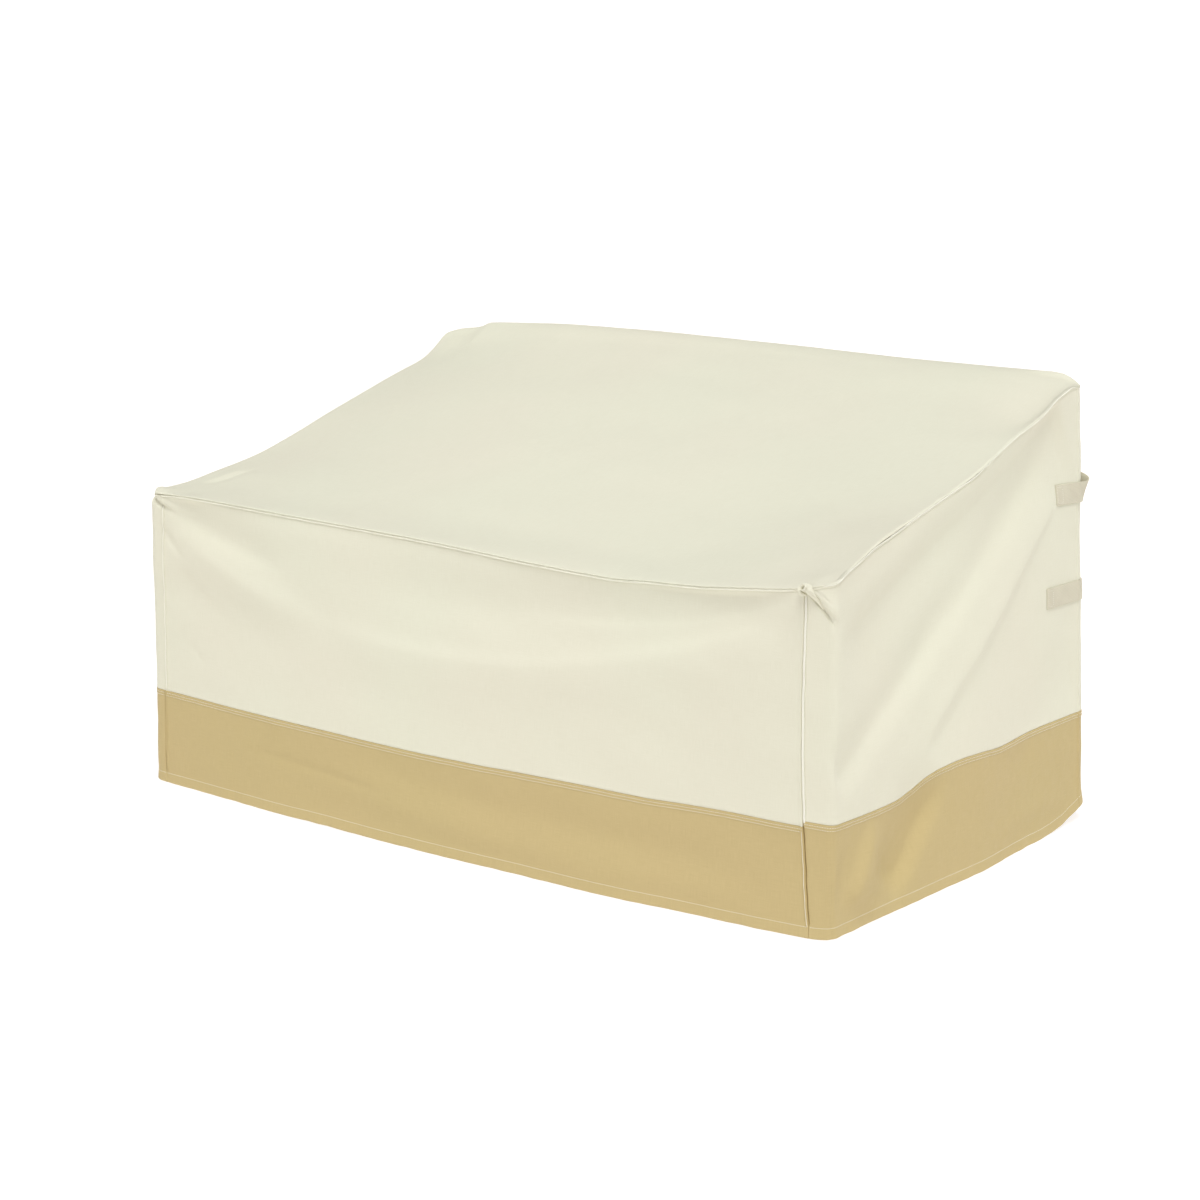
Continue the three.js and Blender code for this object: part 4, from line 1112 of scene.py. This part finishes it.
def thread_material(name, colour, deeper):
    """Twisted sewing thread."""
    m = Nodes(name)
    place = m.add("ShaderNodeTexCoord").outputs["Object"]
    wave = m.add("ShaderNodeTexWave", wave_type="BANDS", bands_direction="DIAGONAL")
    wave.inputs["Scale"].default_value = 900.0
    m.tree.links.new(place, wave.inputs["Vector"])
    tint = m.mix(wave.outputs["Fac"], colour, deeper)
    m.tree.links.new(tint, m.shader.inputs["Base Color"])
    m.shader.inputs["Roughness"].default_value = 0.6
    m.shader.inputs["Specular IOR Level"].default_value = 0.35
    m.tree.links.new(m.bump(wave.outputs["Fac"], 0.5, 0.0002), m.shader.inputs["Normal"])
    return m.material


CREAM = cloth_material("cream_cloth", (0.785, 0.78, 0.632), (0.70, 0.68, 0.525), (0.79, 0.765, 0.625), 0.56, 0.08)
TAN = cloth_material("tan_cloth", (0.588, 0.474, 0.230), (0.47, 0.362, 0.166), (0.600, 0.476, 0.236), 0.55, 0.0)
STRAP = webbing_material("strap_webbing", (0.75, 0.71, 0.55), (0.62, 0.575, 0.435))
# pale thread for the stitches; on the seam cords its colour, lighter than the cloth, is a painted highlight
THREAD_AND_PAINTED_HIGHLIGHT = thread_material("pale_thread_and_painted_highlight", (0.94, 0.925, 0.81), (0.87, 0.85, 0.73))


# --------------------------------------------------------------- the cover
def wall_piece(kind, side, start, end, on_right, before, after, step, rise, zones=(), fine=0.0):
    """before and after name the seams at its start and end."""
    return {
        "name": side + ("_cloth" if kind == "panel" else "_hem_band"),
        "node": side + "_" + kind,
        "kind": kind,
        "from": start,
        "to": end,
        "on_right": on_right,
        "ends": ((start, SEAMS[before], "after"), (end, SEAMS[after], "before")),
        "step": step,
        "rise": rise,
        "zones": zones,
        "fine": fine,
    }


SIDES = (
    ("front", SEAM_FRONT_LEFT, SEAM_FRONT_RIGHT, False, "front left", "front right", 5.5, 4.5, ((37.0, 98.0, 2.2),), 34),
    ("right", SEAM_FRONT_RIGHT, SEAM_BACK_RIGHT, True, "front right", "back right", 5.5, 4.5, ((1468.0, 1534.0, 1.2),), 76),
    ("back", SEAM_BACK_RIGHT, SEAM_BACK_LEFT, False, "back right", "back left", 10.0, 10.0, (), 0),
    ("left", SEAM_BACK_LEFT, 4 + SEAM_FRONT_LEFT, False, "back left", "front left", 8.5, 7.5, ((LOOP - 30, LOOP + 22, 2.2),), 34),
)

sheets = {}
top = build_top(CREAM)
sheets["top_panel"] = top
stitched = {}
edging = {}
for side, start, end, on_right, before, after, step, rise, zones, fine in SIDES:
    for kind, material in (("panel", CREAM), ("band", TAN)):
        piece = wall_piece(kind, side, start, end, on_right, before, after, step, rise, zones, fine)
        sheets[piece["node"]] = build_wall(piece, material)
        # cords along the seams, in the cream and down the tan band: their pale thread colour is a painted highlight on
        # each seam's ridge
        if piece["node"] == "front_panel":
            lines = (
                along_top(0.016, 0.955, 1.2, 2.2, 0.6),
                up_seam(piece, SEAM_FRONT_LEFT, 2.8, 181, walls(np.array([start]), "seamZ")[0] - 18, 0.3, 1.3),
                up_seam(piece, SEAM_FRONT_RIGHT, -1.9, 4, 186, 0.35, 0.45),
            )
            edging[piece["node"]] = seam_cord_painted_highlight("front_seam_edging", lines, THREAD_AND_PAINTED_HIGHLIGHT)
        if piece["node"] == "right_panel":
            lines = (
                along_top(0.976, 1.955, 0.6, -0.3, 0.85),
                up_seam(piece, SEAM_FRONT_RIGHT, 3.4, 186, walls(np.array([start]), "seamZ")[0] - 10, 0.6, 2.3),
            )
            edging[piece["node"]] = seam_cord_painted_highlight("right_seam_edging", lines, THREAD_AND_PAINTED_HIGHLIGHT)
        if piece["node"] == "left_panel":
            lines = (along_top(3.3, 3.965, 1.2, 0.4, 1.2),)
            edging[piece["node"]] = seam_cord_painted_highlight("left_seam_edging", lines, THREAD_AND_PAINTED_HIGHLIGHT)
        if kind == "band":
            stitched[piece["node"]] = stitches_object(side + "_band_stitching", band_stitches(piece), THREAD_AND_PAINTED_HIGHLIGHT)


def build_strap(k, material):
    """A strap sewn to the right side, round the back corner and on to the back."""
    row = {name: column[k] for name, column in STRAPS.items()}
    plain = {"kind": "panel", "on_right": True, "ends": ()}
    s2 = FRONT_LENGTH + SIDE_DEPTH
    run = np.linspace(-row["across"], row["behind"], 150)
    across = np.concatenate([[0, 0.5, 1.2], np.linspace(2.5, row["width"] - 2.5, 18), row["width"] - np.array([1.2, 0.5, 0])])
    share = (run + row["across"]) / (row["across"] + row["behind"])
    s = s2 + run
    u = u_at(s)[None] * np.ones((len(across), 1))
    z = row["low"] + across[:, None] + (row["rise"] * share + row["slack"] * smooth((run + 14) / 60))[None]
    base, out = wall_base(u, z)
    h = fold_height(FOLDS, along(u), z)
    h = h + cloth_noise(along(u), z)
    h = h + 1.0 * ridge(np.abs(along(u) - along(np.array([SEAM_BACK_RIGHT]))[0]), 8.0)
    # it stands off the corner in a loop, and more at its upper edge
    loop = np.exp(-(((run - 6) / 20) ** 2))[None]
    upper = (0.22 + 0.78 * (across / row["width"]) ** 1.3)[:, None]
    end = smooth((run + row["across"]) / 14)
    lift = (0.12 + 0.43 * end)[None] + row["proud"] * loop * upper
    # the cut end is turned under and sewn down, so it is a little thicker there
    turned = smooth((-row["across"] + 24 - run) / 2.0)
    lift_outer = lift + WEBBING * (0.45 + 0.55 * smooth((run + row["across"]) / 2.5))[None] + 0.5 * (turned * end)[None]
    edge = np.minimum(across, row["width"] - across)[:, None]
    round_off = 0.75 * (1 - np.sqrt(np.clip(1 - (1 - np.clip(edge / 1.2, 0, 1)) ** 2, 0, 1)))
    outer = base + out * (h + lift_outer - round_off)[..., None]
    inner = base + out * (h + lift + round_off * 0.4)[..., None]
    points, faces = close_grid(outer, inner)
    uv = np.stack(np.broadcast_arrays(s[None], z), -1).reshape(-1, 2)
    obj = mesh_object(STRAP_NAMES[k] + "_webbing", points, faces, np.concatenate([uv, uv]), material)
    return obj, outer, run, across


straps = {}
for k, name in enumerate(STRAP_NAMES):
    obj, outer, run, across = build_strap(k, STRAP)
    normals = grid_normals(outer)
    # a box of stitches at the sewn end
    a, b = np.searchsorted(run, run[0] + 3.0), np.searchsorted(run, run[0] + 20.0)
    c, d = 4, len(across) - 5
    lines = []
    for path in (
        [(c, j) for j in range(a, b)],
        [(d, j) for j in range(a, b)],
        [(i, a) for i in range(c, d)],
        [(i, b) for i in range(c, d)],
    ):
        pts = np.array([outer[i, j] for i, j in path])
        nrm = np.array([normals[i, j] for i, j in path])
        lines.append(stitch_line(pts, nrm, 2.6, 0.9, 0.36))
    box = stitches_object(name + "_strap_stitching", lines, THREAD_AND_PAINTED_HIGHLIGHT)
    straps[name] = (obj, box)

# ------------------------------------------------- riding, and the CAD parts hidden
for node, obj in sheets.items():
    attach(obj, "root")
    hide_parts(node)
for obj in list(stitched.values()) + list(edging.values()):
    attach(obj, "root")
for name, (obj, box) in straps.items():
    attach(obj, "root")
    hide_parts(name + "_strap")
    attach(box, "root")


# ------------------------------------------------ floor, light and camera
def floor():
    """A wide round table of white acrylic, lit from below so that shadows on it stay faint."""
    rings, spokes = 40, 96
    radii = 60.0 * (np.arange(1, rings + 1) / rings) ** 2.2
    angle = 2 * math.pi * np.arange(spokes) / spokes
    points = np.concatenate(
        [[[0, 0, 0]], np.stack([np.outer(radii, np.cos(angle)).ravel(), np.outer(radii, np.sin(angle)).ravel(), np.zeros(rings * spokes)], -1)]
    )
    faces = [(0, 1 + k, 1 + (k + 1) % spokes) for k in range(spokes)]
    for r in range(rings - 1):
        for k in range(spokes):
            a, b = 1 + r * spokes + k, 1 + r * spokes + (k + 1) % spokes
            faces.append((a, a + spokes, b + spokes, b))
    mesh = bpy.data.meshes.new("floor")
    mesh.from_pydata((points + [0, 0, -0.0006]).tolist(), [], faces)
    obj = bpy.data.objects.new("floor", mesh)
    bpy.context.scene.collection.objects.link(obj)
    m = Nodes("pale_floor")
    place = m.add("ShaderNodeTexCoord").outputs["Object"]
    tint = m.mix(m.noise(place, 3.0), (0.30, 0.298, 0.296), (0.31, 0.308, 0.306))
    m.tree.links.new(tint, m.shader.inputs["Base Color"])
    m.shader.inputs["Emission Color"].default_value = (0.985, 0.952, 0.93, 1)
    m.shader.inputs["Emission Strength"].default_value = 0.86
    m.shader.inputs["Roughness"].default_value = 0.85
    m.shader.inputs["Specular IOR Level"].default_value = 0.1
    obj.data.materials.append(m.material)


def sun(name, turn, height, strength, colour, softness):
    """A wide, soft light far off: turn is its way round from the front to the right."""
    data = bpy.data.lights.new(name, "SUN")
    data.energy = strength * math.pi
    data.color = colour
    data.angle = math.radians(softness)
    obj = bpy.data.objects.new(name, data)
    turn, height = math.radians(turn), math.radians(height)
    way = Vector((math.sin(turn) * math.cos(height), -math.cos(turn) * math.cos(height), math.sin(height)))
    obj.rotation_euler = way.to_track_quat("Z", "Y").to_euler()
    obj.location = way * 6.0
    bpy.context.scene.collection.objects.link(obj)


floor()
world = bpy.data.worlds.new("studio")
world.use_nodes = True
sky = world.node_tree
background = sky.nodes["Background"]
# even light from above, and a white screen round the foot of the studio
place = sky.nodes.new("ShaderNodeTexCoord")
split = sky.nodes.new("ShaderNodeSeparateXYZ")
level = sky.nodes.new("ShaderNodeMapRange")
for socket, value in zip(("From Min", "From Max", "To Min", "To Max"), (0.05, 0.26, 1.0, 0.0)):
    level.inputs[socket].default_value = value
mix = sky.nodes.new("ShaderNodeMix")
mix.data_type = "RGBA"
mix.inputs[6].default_value = (0.16, 0.14, 0.13, 1)
mix.inputs[7].default_value = (1.0, 1.0, 1.0, 1)
sky.links.new(place.outputs["Generated"], split.inputs[0])
sky.links.new(split.outputs["Z"], level.inputs["Value"])
sky.links.new(level.outputs["Result"], mix.inputs["Factor"])
sky.links.new(mix.outputs[2], background.inputs["Color"])
background.inputs["Strength"].default_value = 1.0
bpy.context.scene.world = world
sun("key", 44, 70, 0.835, (0.972, 0.995, 1.02), 30)
sun("front fill", -30, 22, 0.115, (0.98, 1.0, 1.0), 40)
sun("side fill", 120, 22, 0.12, (0.98, 1.0, 1.0), 40)

camera_data = bpy.data.cameras.new("camera")
camera_data.sensor_width = 36.0
camera_data.sensor_fit = "HORIZONTAL"
camera_data.lens = 90.59
camera_data.clip_end = 200.0
camera = bpy.data.objects.new("camera", camera_data)
azimuth, elevation, distance = math.radians(36.929), math.radians(12.978), 5.535
target = Vector((-0.0273, 0.009, 0.3724))
away = Vector(
    (
        math.sin(azimuth) * math.cos(elevation),
        -math.cos(azimuth) * math.cos(elevation),
        math.sin(elevation),
    )
)
camera.location = target + away * distance
camera.rotation_euler = (-away).to_track_quat("-Z", "Y").to_euler()
bpy.context.scene.collection.objects.link(camera)
bpy.context.scene.camera = camera
view = bpy.context.scene.view_settings
view.view_transform = "Standard"
view.look = "None"
